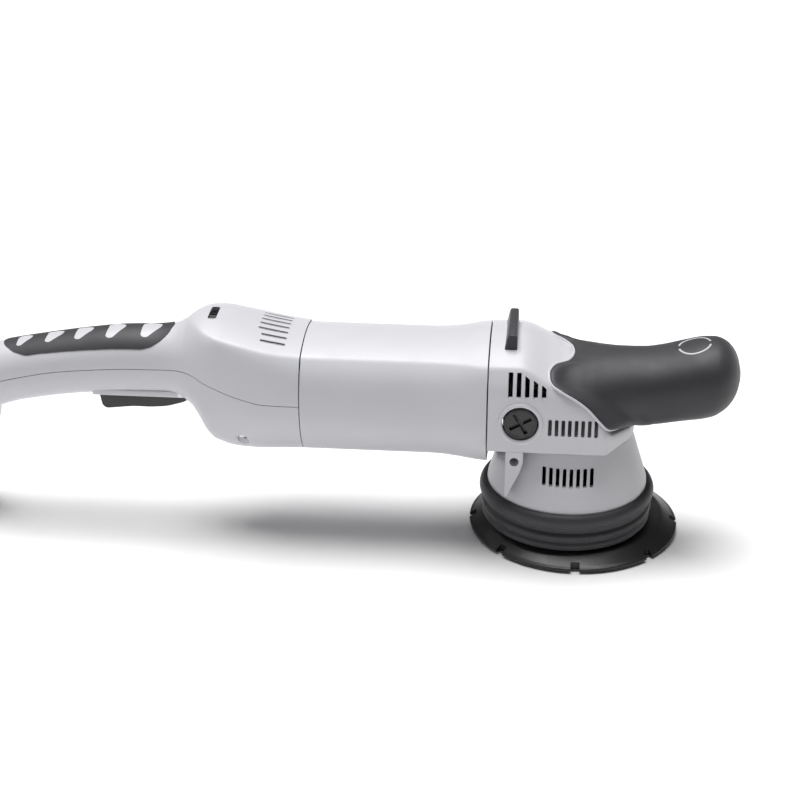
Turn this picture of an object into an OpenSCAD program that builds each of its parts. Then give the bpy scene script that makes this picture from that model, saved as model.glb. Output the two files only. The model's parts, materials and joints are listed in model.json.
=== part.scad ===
// Dual action polisher: a barrel motor drives a crown gear, whose spindle swings an eccentric pad.
// Frame: origin on the spindle axis, in the plane of the pad face. +X is the palm grip end, +Z is up.

/* [Backing plate and orbit] */
// Diameter of the backing plate
plate_d = 125; // [115:1:130]
// Diameter of the circle that the pad centre runs on
throw_d = 15; // [8:0.5:15]
// Direction of the pad's offset at rest, seen from above
throw_angle = 51.2; // [0:0.1:360]

/* [Motor and gears] */
// Height of the motor axis above the pad face
axis_z = 89; // [88:0.5:90]
// Radius of the lower half of the motor housing
motor_r = 38; // [37:0.5:39]
// Wall of the plastic shells
wall = 3; // [2.6:0.1:3.2]
// Teeth on the motor pinion
pinion_teeth = 9; // [9:1:9]
// Teeth on the crown gear
crown_teeth = 36; // [36:1:36]
// Gear module, pitch diameter over teeth
gear_module = 1.25; // [1.2:0.01:1.25]

/* [Controls] */
// Radius of the speed thumbwheel
dial_r = 13; // [12.5:0.1:13.3]
// Width of the trigger paddle
paddle_w = 20; // [16:1:20]
// Inner radius of the cord inlet
cord_bore_r = 4.2; // [3.5:0.1:4.5]

/* [Hidden] */
$fn = 64;

// Colours of the kinds of material
light_grey = [0.78, 0.78, 0.80];
dark_rubber = [0.16, 0.16, 0.17];
black_plastic = [0.10, 0.10, 0.11];
steel = [0.62, 0.63, 0.65];
cast_alloy = [0.70, 0.70, 0.68];
copper = [0.72, 0.40, 0.20];

// Stations along X, from front to back
motor_front = -47;
ecc = throw_d / 2;
ecc_x = ecc * cos(throw_angle);
ecc_y = ecc * sin(throw_angle);

// Rear body: [x, z, tilt of the section, half width, height above and below the parting line,
// roundness above, roundness below]
rear_stations = [
    [-155, 91, 0, 37.5, 31.5, 40, 3.2, 2.05], [-175, 91, 0, 36.8, 34.5, 41, 3.6, 2.05],
    [-190, 93.5, 0, 35.3, 35.5, 43.9, 3.8, 2.1], [-201, 96.7, 0, 33.3, 34.8, 46.2, 4, 2.1],
    [-208, 98.8, 0, 31.5, 33.6, 46, 3.7, 2.1], [-213, 100.8, 0, 29.6, 31.6, 43.5, 3.4, 2.1],
    [-218, 102.9, 0, 27, 28.6, 35.5, 2.8, 2.1], [-224, 103.7, 0, 23.3, 25, 27.5, 2.2, 2.1],
    [-231, 103.3, 0, 20.5, 20.9, 22, 2.1, 2.1], [-240, 102.7, 2, 19, 19.6, 20, 2.2, 2.2],
    [-262, 102, 3, 18.3, 18.8, 20, 2.2, 2.2], [-285, 100.2, 7, 18, 17.6, 20, 2.2, 2.2],
    [-305, 97.8, 9, 17.8, 16.5, 20, 2.2, 2.2], [-322, 94.2, 13, 17.6, 16.9, 19.4, 2.2, 2.2],
    [-338, 90, 18, 17.6, 17.8, 19, 2.2, 2.2], [-350, 85, 32, 18, 18.5, 19, 2.2, 2.2],
    [-358, 76, 52, 18.5, 18, 19, 2.2, 2.2], [-362, 64, 70, 19, 17, 18.5, 2.3, 2.3],
    [-366, 48, 80, 19.5, 16.5, 18, 2.4, 2.4], [-370, 25, 86, 20, 16, 17.5, 2.5, 2.5],
    [-373, 0, 90, 20.5, 16, 17, 2.5, 2.5]
];
arc_steps = 16;

// Motor housing: [x, half width, height above and below the motor axis, roundness above, below]
motor_stations = [
    [-155, 37.5, 33.5, 38, 3.0, 2.05], [-120, 37.5, 33.5, 38, 3.0, 2.05],
    [-80, 37.5, 33.5, 38, 3.0, 2.05], [-66, 38.6, 35, 39, 3.1, 2.05],
    [-55, 40.6, 37, 40.4, 3.2, 2.1], [-47, 41.6, 37.8, 41, 3.3, 2.1]
];
ring_steps = 48;

// Palm grip: [x, centre height, half width, height above centre, below centre, lowest z]
palm_stations = [
    [-8, 96, 39, 18, 24, 111.75], [-2, 96, 38.5, 19.4, 24, 107.85], [4, 95.5, 37.6, 21.2, 24, 104.05],
    [10, 95, 35.8, 22.4, 23, 99.05], [18, 95, 32.2, 22.9, 23, 88.55], [24, 95, 29.4, 23, 22, 79.05],
    [31, 95.5, 27.2, 22.8, 21.5, 77.2], [40, 96, 25.8, 22.4, 21.8, 76], [52, 97.6, 25.4, 22.8, 22.4, 70],
    [63, 99.6, 25.8, 23.4, 22.8, 70], [74, 101.8, 26.2, 23.8, 23.2, 70], [82, 103, 25.2, 22.8, 22.4, 70],
    [88, 104, 21.9, 19.8, 19.4, 70], [92.5, 104.4, 16.8, 15.2, 14.8, 70], [95.4, 104.6, 10.5, 9.4, 9.2, 70],
    [97, 104.6, 4, 3.6, 3.6, 70]
];
palm_steps = 15;
core_r = 17.5;
core_z = 96;
core_rise = 7;
core_length = 64;

// Head cover: [x, half width, half distance between the shoulder creases, crease height, top height]
head_bottom = 70;
head_stations = [
    [-47, 42, 34.5, 119, 126.8], [-30, 42, 34.5, 119.4, 126.8], [-12, 42, 36.2, 110.6, 117],
    [-8, 42, 37.5, 108.6, 111.7], [-2, 42, 38.5, 106.4, 107.8], [4, 41.9, 39, 103.4, 104],
    [10, 41.8, 39.4, 98.6, 99], [18, 41.5, 39.4, 88.3, 88.5], [24, 36.6, 34.6, 78.8, 79],
    [31, 26, 24, 76.8, 77], [35.5, 18, 16, 76, 76.2], [38.2, 6, 4, 75.4, 75.5]
];

// Speed thumbwheel
dial_x = -209;
dial_z = 119;

// Trigger and switch
hinge_x = -229;
hinge_z = 84;
plunger_x = -262;
plunger_r = 3;
plunger_tip_z = 84.95;

// Screws through the two handle shells: [x, y, underside of the head, top of the lower post,
// bottom and top of the upper post]
handle_screw_table = [
    [-300, 0, 79.8, 97.8, 99, 112.6], [-325, 0, 75, 92.3, 94.5, 108],
    [-190, 26, 66, 92.3, 95.2, 116], [-190, -26, 66, 92.3, 95.2, 116]
];

// Cord inlet at the back of the tail
cord_z = 52;
inlet_back = -393;

// Gears
pinion_pitch_r = gear_module * pinion_teeth / 2;
crown_pitch_r = gear_module * crown_teeth / 2;
tooth_t = 0.9;
tooth_add = 0.85;
gear_face = 4;
crown_root_z = axis_z - pinion_pitch_r - 1.5;
crown_tip_z = axis_z - pinion_pitch_r + tooth_add;

// Gear case and side handle sockets
case_r = 29;
screw_ring_r = 27.1;
socket_x = -28;
plug_r = 10;

// Shroud cone
shroud_top_z = 68;
shroud_top_r = 37;
shroud_low_z = 35;
shroud_low_r = 47.4;

// ---------- helpers ----------

function signed_pow(v, p) = sign(v) * pow(abs(v), p);

// One point of a rounded outline at angle t: half width a, heights up and lo, roundness nu and nl
function outline_point(t, a, up, lo, nu, nl) =
    let (n = sin(t) >= 0 ? nu : nl, h = sin(t) >= 0 ? up : lo)
    [a * signed_pow(cos(t), 2 / n), h * signed_pow(sin(t), 2 / n)];

// Points of a section between two angles, as [y, height] pairs
function outline(a, up, lo, nu, nl, t0, t1, steps) =
    [for (i = [0 : steps]) outline_point(t0 + (t1 - t0) * i / steps, a, up, lo, nu, nl)];

// A [y, height] pair of a tilted section in space
function in_space(p, x, z, tilt) = [x - p[1] * sin(tilt), p[0], z + p[1] * cos(tilt)];

// Side faces between closed rings of n points each
function ring_sides(m, n) = [
    for (j = [0 : m - 2]) for (i = [0 : n - 1])
        let (a = j * n + i, b = j * n + (i + 1) % n)
        each [[a, b, b + n], [a, b + n, a + n]]
];

// A solid through closed rings that all have the same number of points
module loft(rings) {
    n = len(rings[0]);
    m = len(rings);
    points = [for (ring = rings) for (p = ring) p];
    polyhedron(points, concat(ring_sides(m, n), [[for (i = [n - 1 : -1 : 0]) i]],
                              [[for (i = [0 : n - 1]) (m - 1) * n + i]]));
}

// The same for rings that run out along one line and back along another, with their ends closed in strips
module strip_loft(rings) {
    n = len(rings[0]);
    m = len(rings);
    last = (m - 1) * n;
    points = [for (ring = rings) for (p = ring) p];
    caps = [
        for (i = [0 : n / 2 - 2])
            let (k = n - 1 - i)
            each [[i, k, k - 1], [i, k - 1, i + 1],
                  [last + i, last + k - 1, last + k], [last + i, last + i + 1, last + k - 1]]
    ];
    polyhedron(points, concat(ring_sides(m, n), caps));
}

// A wall between an outer and an inner run of closed rings, open at both ends
module tube_loft(outer, inner) {
    n = len(outer[0]);
    m = len(outer);
    points = concat([for (ring = outer) for (p = ring) p], [for (ring = inner) for (p = ring) p]);
    base = n * m;
    walls = [
        for (j = [0 : m - 2]) for (i = [0 : n - 1])
            let (a = j * n + i, b = j * n + (i + 1) % n)
            each [[a, b, b + n], [a, b + n, a + n], [base + b, base + a, base + b + n],
                  [base + a, base + a + n, base + b + n]]
    ];
    rims = [
        for (i = [0 : n - 1])
            let (k = (i + 1) % n, e = (m - 1) * n)
            each [[i, base + i, base + k], [i, base + k, k],
                  [e + i, e + k, base + e + k], [e + i, base + e + k, base + e + i]]
    ];
    polyhedron(points, concat(walls, rims));
}

// One half shell of the rear body, between angles t0 and t1 of its sections
module half_shell(t0, t1) {
    strip_loft([
        for (s = rear_stations)
            let (w = wall,
                 out = outline(s[3], s[4], s[5], s[6], s[7], t0, t1, arc_steps),
                 in = outline(s[3] - w, s[4] - w, s[5] - w, s[6], s[7], t1, t0, arc_steps))
            [for (p = concat(out, in)) in_space(p, s[0], s[1], s[2])]
    ]);
}

// Foot of the tail: one half of the end wall
module foot_wall(t0, t1) {
    s = rear_stations[len(rear_stations) - 1];
    translate([s[0], 0, 0])
        linear_extrude(wall)
            polygon([for (p = outline(s[3] - 1, s[4] - 1, s[5] - 1, s[6], s[7], t0, t1, arc_steps)) [-p[1], p[0]]]);
}

// A straight cylinder along X from x0 to x1
module bar_x(x0, x1, r) {
    translate([x0, 0, axis_z]) rotate([0, 90, 0]) cylinder(r = r, h = x1 - x0);
}

// A straight cylinder along Y from y0 to y1 at x, z
module bar_y(y0, y1, r, x, z) {
    translate([x, y0, z]) rotate([-90, 0, 0]) cylinder(r = r, h = y1 - y0);
}

// A ball bearing along Z, drawn as one ring with grooved side faces
module bearing(inner_r, outer_r, h) {
    land = (outer_r - inner_r) / 3;
    groove = h * 0.08;
    rotate_extrude()
        polygon([
            [inner_r, 0], [inner_r + land, 0], [inner_r + land, groove], [outer_r - land, groove],
            [outer_r - land, 0], [outer_r, 0], [outer_r, h], [outer_r - land, h],
            [outer_r - land, h - groove], [inner_r + land, h - groove], [inner_r + land, h], [inner_r, h]
        ]);
}

// A pan-head screw along Z, head at the bottom end at z = 0, shank pointing up
module screw(head_r, head_h, shank_r, length) {
    difference() {
        union() {
            cylinder(r = head_r, h = head_h);
            cylinder(r = shank_r, h = length);
        }
        for (turn = [0, 90])
            rotate([0, 0, turn])
                translate([-head_r * 0.6, -head_r * 0.12, -0.1])
                    cube([head_r * 1.2, head_r * 0.24, head_h * 0.6]);
    }
}

// ---------- rear body ----------

module handle_upper_shell() {
    color(light_grey)
        difference() {
            union() {
                half_shell(0, 180);
                foot_wall(0, 180);
                for (s = handle_screw_table)
                    translate([s[0], s[1], s[4]]) cylinder(r = 4, h = s[5] - s[4]);
            }
            translate([dial_x - 2.7, -9.3, 120]) cube([5.4, 18.6, 20]);
            for (i = [-3 : 3])
                let (long = i < -1 ? 15 : 17.6)
                translate([-164.5 - long, i * 6.4 - 0.9, 108]) cube([long, 1.8, 24]);
            translate([-400, 0, cord_z]) rotate([0, 90, 0]) cylinder(r = 7, h = 40);
            for (s = handle_screw_table)
                translate([s[0], s[1], s[4] - 5]) cylinder(r = 1.6, h = s[5] - s[4]);
        }
}

module handle_lower_shell() {
    color(light_grey)
        difference() {
            union() {
                half_shell(180, 360);
                foot_wall(180, 360);
                for (s = handle_screw_table)
                    translate([s[0], s[1], s[2]]) cylinder(r = 4.4, h = s[3] - s[2]);
                translate([-282, -paddle_w / 2 - 2.6, 80.2]) cube([60.6, paddle_w + 5.2, 6.4]);
            }
            translate([-280.4, -paddle_w / 2 - 0.6, 68]) cube([57.2, paddle_w + 1.2, 22]);
            bar_y(-13, 13, 1.55, hinge_x, hinge_z);
            for (s = handle_screw_table) {
                translate([s[0], s[1], s[2] - 12]) cylinder(r = 3.1, h = 14);
                translate([s[0], s[1], s[2]]) cylinder(r = 1.6, h = 30);
            }
        }
}

// Rubber pad let into the top of the handle
module handle_grip() {
    over = 1;
    stations = [for (i = [9 : 14]) rear_stations[i]];
    color(dark_rubber)
        strip_loft([
            for (s = stations)
                let (out = outline(s[3] + over, s[4] + over, s[5], s[6], s[7], 32, 148, arc_steps),
                     in = outline(s[3] + 0.01, s[4] + 0.01, s[5], s[6], s[7], 148, 32, arc_steps))
                [for (p = concat(out, in)) in_space(p, s[0], s[1], s[2])]
        ]);
}

module cord_inlet() {
    color(black_plastic)
        translate([inlet_back, 0, cord_z])
            rotate([0, 90, 0])
                difference() {
                    union() {
                        cylinder(r = 6.8, h = 24);
                        cylinder(r = 9.5, h = 9.5);
                        translate([0, 0, 16.6]) cylinder(r = 9.5, h = 3);
                    }
                    translate([0, 0, -1]) cylinder(r = cord_bore_r, h = 30);
                }
}

module cord_clamp() {
    color(black_plastic)
        difference() {
            translate([-357.4, -9, 58]) cube([8, 18, 5]);
            for (side = [-1, 1])
                translate([-353.4, side * 6, 57]) cylinder(r = 1.6, h = 8);
        }
}

// ---------- motor ----------

function motor_ring(s, inset) =
    [for (i = [0 : ring_steps - 1])
        let (p = outline_point(360 * i / ring_steps, s[1] - inset, s[2] - inset, s[3] - inset, s[4], s[5]))
        [s[0], p[0], axis_z + p[1]]];

module motor_housing() {
    color(light_grey) {
        tube_loft([for (i = [len(motor_stations) - 1 : -1 : 0]) motor_ring(motor_stations[i], 0)],
                  [for (i = [len(motor_stations) - 1 : -1 : 0]) motor_ring(motor_stations[i], wall)]);
    }
}

module stator_core() {
    color(steel)
        difference() {
            bar_x(-136, -86, 34.2);
            bar_x(-137, -85, 19.5);
            flat_top(-137, 52);
            for (side = [0, 180])
                rotate_about_axis(side)
                    for (k = [-1, 1])
                        translate([-137, k * 17 - 3, 9]) cube([52, 6, 12]);
        }
}

// Cutter that keeps round parts clear of the low roof of the motor housing
module flat_top(x, length) {
    translate([x, -40, axis_z + 28.4]) cube([length, 80, 10]);
}

// Turns its children about the motor axis
module rotate_about_axis(angle) {
    translate([0, 0, axis_z]) rotate([angle, 0, 0]) children();
}

module field_windings() {
    color(copper)
        for (x0 = [-144, -86])
            translate([x0, 0, axis_z])
                rotate([0, 90, 0])
                    rotate_extrude()
                        polygon([[21, 0.2], [26, 0.2], [28, 2.2], [28, 6], [26, 7.8], [23, 7.8], [21, 6]]);
}

module fan_baffle() {
    color(black_plastic)
        difference() {
            bar_x(-76, -73, 34.2);
            bar_x(-77, -72, 25);
            flat_top(-77, 5);
            for (p = motor_screw_places)
                translate([-77, p[0], axis_z + p[1]]) rotate([0, 90, 0]) cylinder(r = 1.7, h = 5);
        }
}

module brush_carrier() {
    color(black_plastic)
        difference() {
            union() {
                bar_x(-151, -145, 34);
                bar_x(-184, -170, 14);
                for (side = [0, 180])
                    rotate_about_axis(side)
                        translate([-184, -5, 12]) cube([38, 10, 17]);
            }
            flat_top(-152, 8);
            bar_x(-185, -169, 6);
            bar_x(-180, -169, 11);
            bar_x(-170, -144, 22);
            bar_x(-152, -144, 27);
        }
}

module brush_holders() {
    color([0.80, 0.65, 0.30])
        for (side = [0, 180])
            rotate_about_axis(side)
                difference() {
                    translate([-162, 13.5, -4.5]) cube([11, 17, 9]);
                    translate([-160.6, 13, -3.1]) cube([8.2, 17, 6.2]);
                }
}

module carbon_brushes() {
    color([0.15, 0.15, 0.16])
        for (side = [0, 180])
            rotate_about_axis(side)
                translate([-160.5, 12.1, -3]) cube([8, 14, 6]);
}

// A flat spiral spring behind each brush
module brush_springs() {
    turns = 2.5;
    points_per_turn = 16;
    steps = turns * points_per_turn;
    strip = 0.5;
    color(steel)
        for (side = [0, 180])
            rotate_about_axis(side)
                translate([-159.5, 28.05, 0])
                    rotate([0, 90, 0])
                        linear_extrude(6)
                            polygon(concat(
                                [for (i = [0 : steps])
                                    let (t = 360 * i / points_per_turn, r = 0.6 + 1.3 * i / steps)
                                    [r * cos(t), r * sin(t)]],
                                [for (i = [steps : -1 : 0])
                                    let (t = 360 * i / points_per_turn, r = 0.6 + 1.3 * i / steps - strip / 2)
                                    [r * cos(t), r * sin(t)]]));
}

module rear_motor_bearing() {
    color(steel)
        translate([-180, 0, axis_z]) rotate([0, 90, 0]) bearing(4, 11, 7);
}

module front_motor_bearing() {
    color(steel)
        translate([-46, 0, axis_z]) rotate([0, 90, 0]) bearing(5, 13, 9);
}

module armature_shaft() {
    color(steel)
        union() {
            bar_x(-181, -172.5, 3.96);
            bar_x(-172.5, -47.5, 5.5);
            bar_x(-47.5, -36.5, 4.96);
            bar_x(-36.5, -19, 3.5);
        }
}

module armature_core() {
    slots = 12;
    color(steel)
        difference() {
            bar_x(-134, -88, 18.7);
            bar_x(-135, -87, 5.5);
            for (i = [0 : slots - 1])
                rotate_about_axis(360 * i / slots)
                    translate([-135, -1.6, 11]) cube([48, 3.2, 8]);
        }
}

module armature_windings() {
    color(copper)
        for (x0 = [-144, -88])
            translate([x0, 0, axis_z])
                rotate([0, 90, 0])
                    rotate_extrude()
                        polygon([[6, 0.2], [15, 0.2], [17.5, 2.4], [17.5, 6.4], [15, 9.6], [6, 9.6]]);
}

module commutator() {
    bars = 24;
    color(copper)
        difference() {
            bar_x(-164, -147, 12);
            bar_x(-165, -146, 5.5);
            for (i = [0 : bars - 1])
                rotate_about_axis(360 * (i + 0.5) / bars)
                    translate([-165, -0.3, 11.2]) cube([15, 0.6, 2]);
        }
}

module cooling_fan() {
    blades = 11;
    color(black_plastic)
        difference() {
            union() {
                bar_x(-70, -53, 9);
                bar_x(-55, -53, 28);
                for (i = [0 : blades - 1])
                    rotate_about_axis(360 * i / blades)
                        translate([-68.5, -0.9, 8.5]) rotate([-12, 0, 0]) cube([14.5, 1.8, 18.6]);
            }
            bar_x(-71, -52, 5.5);
        }
}

module pinion_gear() {
    color(steel)
        difference() {
            union() {
                bar_x(-crown_pitch_r - gear_face / 2 - 3, -crown_pitch_r + gear_face / 2 + 0.5, 4.6);
                for (i = [0 : pinion_teeth - 1])
                    rotate_about_axis(360 * i / pinion_teeth)
                        translate([-crown_pitch_r - gear_face / 2, -tooth_t / 2, -pinion_pitch_r - tooth_add])
                            cube([gear_face, tooth_t, 2.4]);
            }
            bar_x(-30, -15, 3.5);
        }
}

// ---------- head ----------

// One section of the head cover, inset by d, with its lower edge at low
function head_ring(s, d, low) =
    let (w = max(s[1] - d, 1), crease_y = max(s[2] - 0.7 * d, 0.7), crease_z = s[3] - d, top = s[4] - d, arc = 5)
    concat(
        [[s[0], w, low], [s[0], w + 0.02, low + 0.3 * (crease_z - low)], [s[0], w - 0.3, low + 0.62 * (crease_z - low)]],
        [for (i = [arc : -1 : -arc])
            let (u = i / arc) [s[0], crease_y * u, crease_z + (top - crease_z) * (1 - u * u)]],
        [[s[0], 0.3 - w, low + 0.62 * (crease_z - low)], [s[0], -w - 0.02, low + 0.3 * (crease_z - low)],
         [s[0], -w, low]]);

module head_block(d, low) {
    loft([for (i = [len(head_stations) - 1 : -1 : 0])
        let (s = head_stations[i])
        head_ring([s[0] > 30 ? s[0] - d : s[0], s[1], s[2], s[3], s[4]], d, low)]);
}

// A row of upright vent slots on both sides
module side_slots(xs, z0, z1, w, y0, y1) {
    for (side = [-1, 1])
        for (x = xs)
            translate([x - w / 2, side > 0 ? y0 : -y1, z0]) cube([w, y1 - y0, z1 - z0]);
}

module head_cover() {
    color(light_grey)
        difference() {
            union() {
                difference() {
                    head_block(0, head_bottom);
                    translate([-0.5, 0, 0]) head_block(2.8, head_bottom - 10);
                }
                for (side = [-1, 1])
                    bar_y(side > 0 ? 39 : -42.8, side > 0 ? 42.8 : -39, 12.8, socket_x, axis_z - 1);
            }
            translate([0, 0, 60]) cylinder(r = case_r + 0.5, h = 46.5);
            for (side = [-1, 1])
                bar_y(side > 0 ? 36 : -46, side > 0 ? 46 : -36, plug_r + 0.4, socket_x, axis_z - 1);
            for (v = [[-34.1, 117.4], [-29.4, 117.4], [-24.7, 115], [-19.9, 112.7], [-15.2, 110.2]])
                side_slots([v[0]], 103.5, v[1], 2.9, 38, 46);
            side_slots([for (i = [0 : 7]) -11.2 + 3.73 * i], 81, 91.5, 2.4, 38, 46);
        }
}

module side_plugs() {
    color(black_plastic)
        for (side = [0, 180])
            translate([socket_x, 0, axis_z - 1])
                rotate([90, 0, side])
                    translate([0, 0, 37.5])
                        difference() {
                            union() {
                                cylinder(r = plug_r, h = 4.6);
                                translate([0, 0, -9]) cylinder(r = 4, h = 10);
                            }
                            for (turn = [30, 120])
                                rotate([0, 0, turn]) translate([-6.5, -0.9, 3.2]) cube([13, 1.8, 3]);
                        }
}

module bumper_strap() {
    color(dark_rubber)
        difference() {
            translate([0, 20.5, 0])
                rotate([90, 0, 0])
                    linear_extrude(41)
                        polygon([[-39.6, 116], [-31.6, 116], [-31.4, 124], [-31.6, 132.4], [-32.2, 133],
                                 [-36, 133], [-36.6, 132.4], [-38.6, 124]]);
            head_block(0, head_bottom);
            for (side = [-1, 1])
                translate([-45, side * 20.5, 133]) rotate([45, 0, 0]) translate([0, -2.4, -2.4]) cube([20, 4.8, 4.8]);
        }
}

// One section of the palm grip: an arc over the top, closed by a flat floor
function palm_ring(s) =
    let (drop = (s[5] - s[1]) / (s[5] > s[1] ? s[3] : s[4]),
         depth = max(drop, -0.985),
         n = 2.2,
         floor_z = s[1] + depth * (depth > 0 ? s[3] : s[4]),
         edge = s[2] * pow(1 - pow(abs(depth), n), 1 / n),
         t0 = sign(depth) * asin(pow(abs(depth), n / 2)))
    concat(
        [for (i = [0 : palm_steps])
            let (p = outline_point(t0 + (180 - 2 * t0) * i / palm_steps, s[2], s[3], s[4], n, n))
            [s[0], p[0], s[1] + p[1]]],
        [for (i = [0 : palm_steps])
            let (u = 1.8 * i / palm_steps - 0.9)
            [s[0], edge * u, floor_z + 0.04 * edge * (1 - u * u)]]);

module palm_grip_rubber() {
    color(dark_rubber)
        difference() {
            strip_loft([for (i = [len(palm_stations) - 1 : -1 : 0]) palm_ring(palm_stations[i])]);
            translate([0, 0, 60]) cylinder(r = case_r + 0.5, h = 47);
            core_form(core_r, 0);
        }
}

// The round bar inside the palm grip, which rises towards its tip
module core_form(r, end_wall) {
    translate([20, 0, core_z]) rotate([0, 90 - core_rise, 0]) cylinder(r = r, h = core_length - end_wall);
}

module palm_grip_core() {
    color(black_plastic)
        difference() {
            core_form(core_r, 0);
            core_form(core_r - wall, wall);
            translate([0, 0, 60]) cylinder(r = case_r, h = 60);
        }
}

motor_screw_places = [[-26.5, 16], [26.5, 16], [-24, -20.4], [24, -20.4]];

module gear_case() {
    flange = [for (t = [0 : 7.5 : 352.5])
        let (p = outline_point(t, 36.5, 24, 36.5, 3, 2.1)) [p[0], axis_z + p[1]]];
    color(cast_alloy)
        difference() {
            union() {
                translate([0, 0, shroud_top_z]) cylinder(r = case_r, h = 97 - shroud_top_z);
                translate([0, 0, 50]) cylinder(r = 21.8, h = 19);
                bar_x(motor_front, -20, 17);
                translate([motor_front - 5, 0, 0]) rotate([90, 0, 90]) linear_extrude(5) polygon(flange);
                bar_y(-37, 37, 9, socket_x, axis_z - 1);
                translate([-34.2, -7.5, 57.5]) cube([16, 15, 7.8]);
            }
            translate([0, 0, 97]) cylinder(r = case_r + 0.4, h = 20);
            translate([0, 0, 70.5]) cylinder(r = 25.4, h = 40);
            translate([0, 0, 49]) cylinder(r = 12, h = 30);
            translate([0, 0, 52]) cylinder(r = 17.5, h = 10);
            bar_x(motor_front - 6, -37, 13);
            bar_x(-40, 0, 8.5);
            bar_y(-9, 9, 1.5, boss_x, boss_z);
            for (side = [-1, 1])
                bar_y(side > 0 ? 24 : -38, side > 0 ? 38 : -24, 4.1, socket_x, axis_z - 1);
            for (p = motor_screw_places)
                translate([-54, p[0], axis_z + p[1]]) rotate([0, 90, 0]) cylinder(r = 1.75, h = 10);
            for (i = [0 : 3])
                rotate([0, 0, 45 + 90 * i]) translate([screw_ring_r, 0, 92]) cylinder(r = 1.2, h = 6);
        }
}

module gear_case_cap() {
    color(cast_alloy)
        difference() {
            union() {
                translate([0, 0, 97]) cylinder(r = case_r, h = 3);
                translate([0, 0, 97]) cylinder(r = 15, h = 8);
            }
            translate([0, 0, 96]) cylinder(r = 11, h = 7);
            for (i = [0 : 3])
                rotate([0, 0, 45 + 90 * i]) translate([screw_ring_r, 0, 96]) cylinder(r = 1.3, h = 6);
        }
}

module spindle_upper_bearing() {
    color(steel) translate([0, 0, 96]) bearing(5, 11, 7);
}

module spindle_lower_bearing() {
    color(steel) translate([0, 0, 52]) bearing(8.5, 17.5, 10);
}

module cap_screws() {
    color(steel)
        for (i = [0 : 3])
            rotate([0, 0, 45 + 90 * i])
                translate([screw_ring_r, 0, 102]) mirror([0, 0, 1]) screw(2.2, 2, 1.2, 10);
}

module motor_screws() {
    color(steel)
        for (p = motor_screw_places)
            translate([motor_front + 3, p[0], axis_z + p[1]]) rotate([0, -90, 0]) screw(3.4, 3, 1.7, 32);
}

// ---------- shroud and skirt ----------

module shroud() {
    color(light_grey)
        difference() {
            union() {
                rotate_extrude()
                    polygon([
                        [21.9, shroud_top_z - 2.5], [shroud_top_r - 1.7, shroud_top_z - 2.5],
                        [shroud_low_r - 2.6, shroud_low_z], [shroud_low_r - 2.6, 26], [shroud_low_r, 26],
                        [shroud_low_r, shroud_low_z], [shroud_top_r + 0.9, shroud_top_z - 2.5],
                        [shroud_top_r, shroud_top_z], [21.9, shroud_top_z]
                    ]);
                for (side = [-1, 1])
                    shroud_boss(side);
            }
            for (side = [-1, 1]) {
                bar_y(side > 0 ? 28 : -52, side > 0 ? 52 : -28, 2.6, boss_x, boss_z);
                bar_y(side > 0 ? 14 : -30, side > 0 ? 30 : -14, 1.55, boss_x, boss_z);
            }
            side_slots([for (i = [0 : 7]) -13.5 + 3.9 * i], 46.5, 57, 2, 36, 50);
        }
}

boss_x = -31;
boss_z = 61.5;

// Screw boss on the side of the shroud, which runs down into the cone
module shroud_boss(side) {
    bar_y(side > 0 ? 17 : -38, side > 0 ? 38 : -17, 5, boss_x, boss_z);
    translate([0, side > 0 ? 38 : -24, 0])
        rotate([90, 0, 0])
            linear_extrude(14)
                polygon([[boss_x - 5, 67.8], [boss_x + 5, 67.8], [boss_x + 5, boss_z], [boss_x + 3.6, boss_z - 6],
                         [boss_x - 3.4, 44], [boss_x - 5, 44]]);
}

module shroud_screws() {
    color(steel)
        for (side = [-1, 1])
            translate([boss_x, side * 30, boss_z]) rotate([side * 90, 0, 0]) screw(2.5, 2, 1.5, 29);
}

module rubber_skirt() {
    r = shroud_low_r;
    color(dark_rubber)
        rotate_extrude()
            difference() {
                union() {
                    translate([r + 0.2, 27]) circle(r = 4.6);
                    translate([r + 0.6, 19.2]) circle(r = 2.6);
                    translate([r - 0.2, 13.4]) circle(r = 2.9);
                    translate([r - 2, 10.5]) square([3.4, 24]);
                }
                translate([0, 25.8]) square([r, 20]);
                square([r - 3, 40]);
            }
}

// ---------- spindle ----------

module spindle_shaft() {
    color(steel)
        union() {
            translate([0, 0, 95]) cylinder(r = 4.96, h = 7.7);
            translate([0, 0, 62]) cylinder(r = 7, h = 33.7);
            translate([0, 0, 46]) cylinder(r = 8.46, h = 16.5);
        }
}

module crown_gear() {
    color(steel)
        difference() {
            union() {
                translate([0, 0, 71]) cylinder(r = 12, h = 6);
                translate([0, 0, 76]) cylinder(r = crown_pitch_r + gear_face / 2, h = crown_root_z - 76);
                for (i = [0 : crown_teeth - 1])
                    rotate([0, 0, 360 * (i + 0.5) / crown_teeth])
                        translate([crown_pitch_r - gear_face / 2, -tooth_t / 2, crown_root_z - 1])
                            cube([gear_face, tooth_t, crown_tip_z - crown_root_z + 1]);
            }
            translate([0, 0, 70]) cylinder(r = 7, h = 20);
        }
}

module eccentric_hub() {
    color(cast_alloy)
        difference() {
            union() {
                translate([ecc_x, ecc_y, 13]) cylinder(r = 20, h = 27);
                translate([0, 0, 38]) cylinder(r = 26, h = 5);
                translate([0, 0, 42]) cylinder(r = 15, h = 6);
            }
            translate([ecc_x, ecc_y, 12]) cylinder(r = 16, h = 24);
            translate([0, 0, 46]) cylinder(r = 8.46, h = 3);
        }
}

module counterweight() {
    color([0.35, 0.35, 0.36])
        difference() {
            intersection() {
                translate([0, 0, 15]) cylinder(r = 41, h = 23);
                rotate([0, 0, throw_angle + 180]) translate([2, -50, 10]) cube([60, 100, 40]);
            }
            translate([ecc_x, ecc_y, 10]) cylinder(r = 20, h = 40);
        }
}

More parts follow.
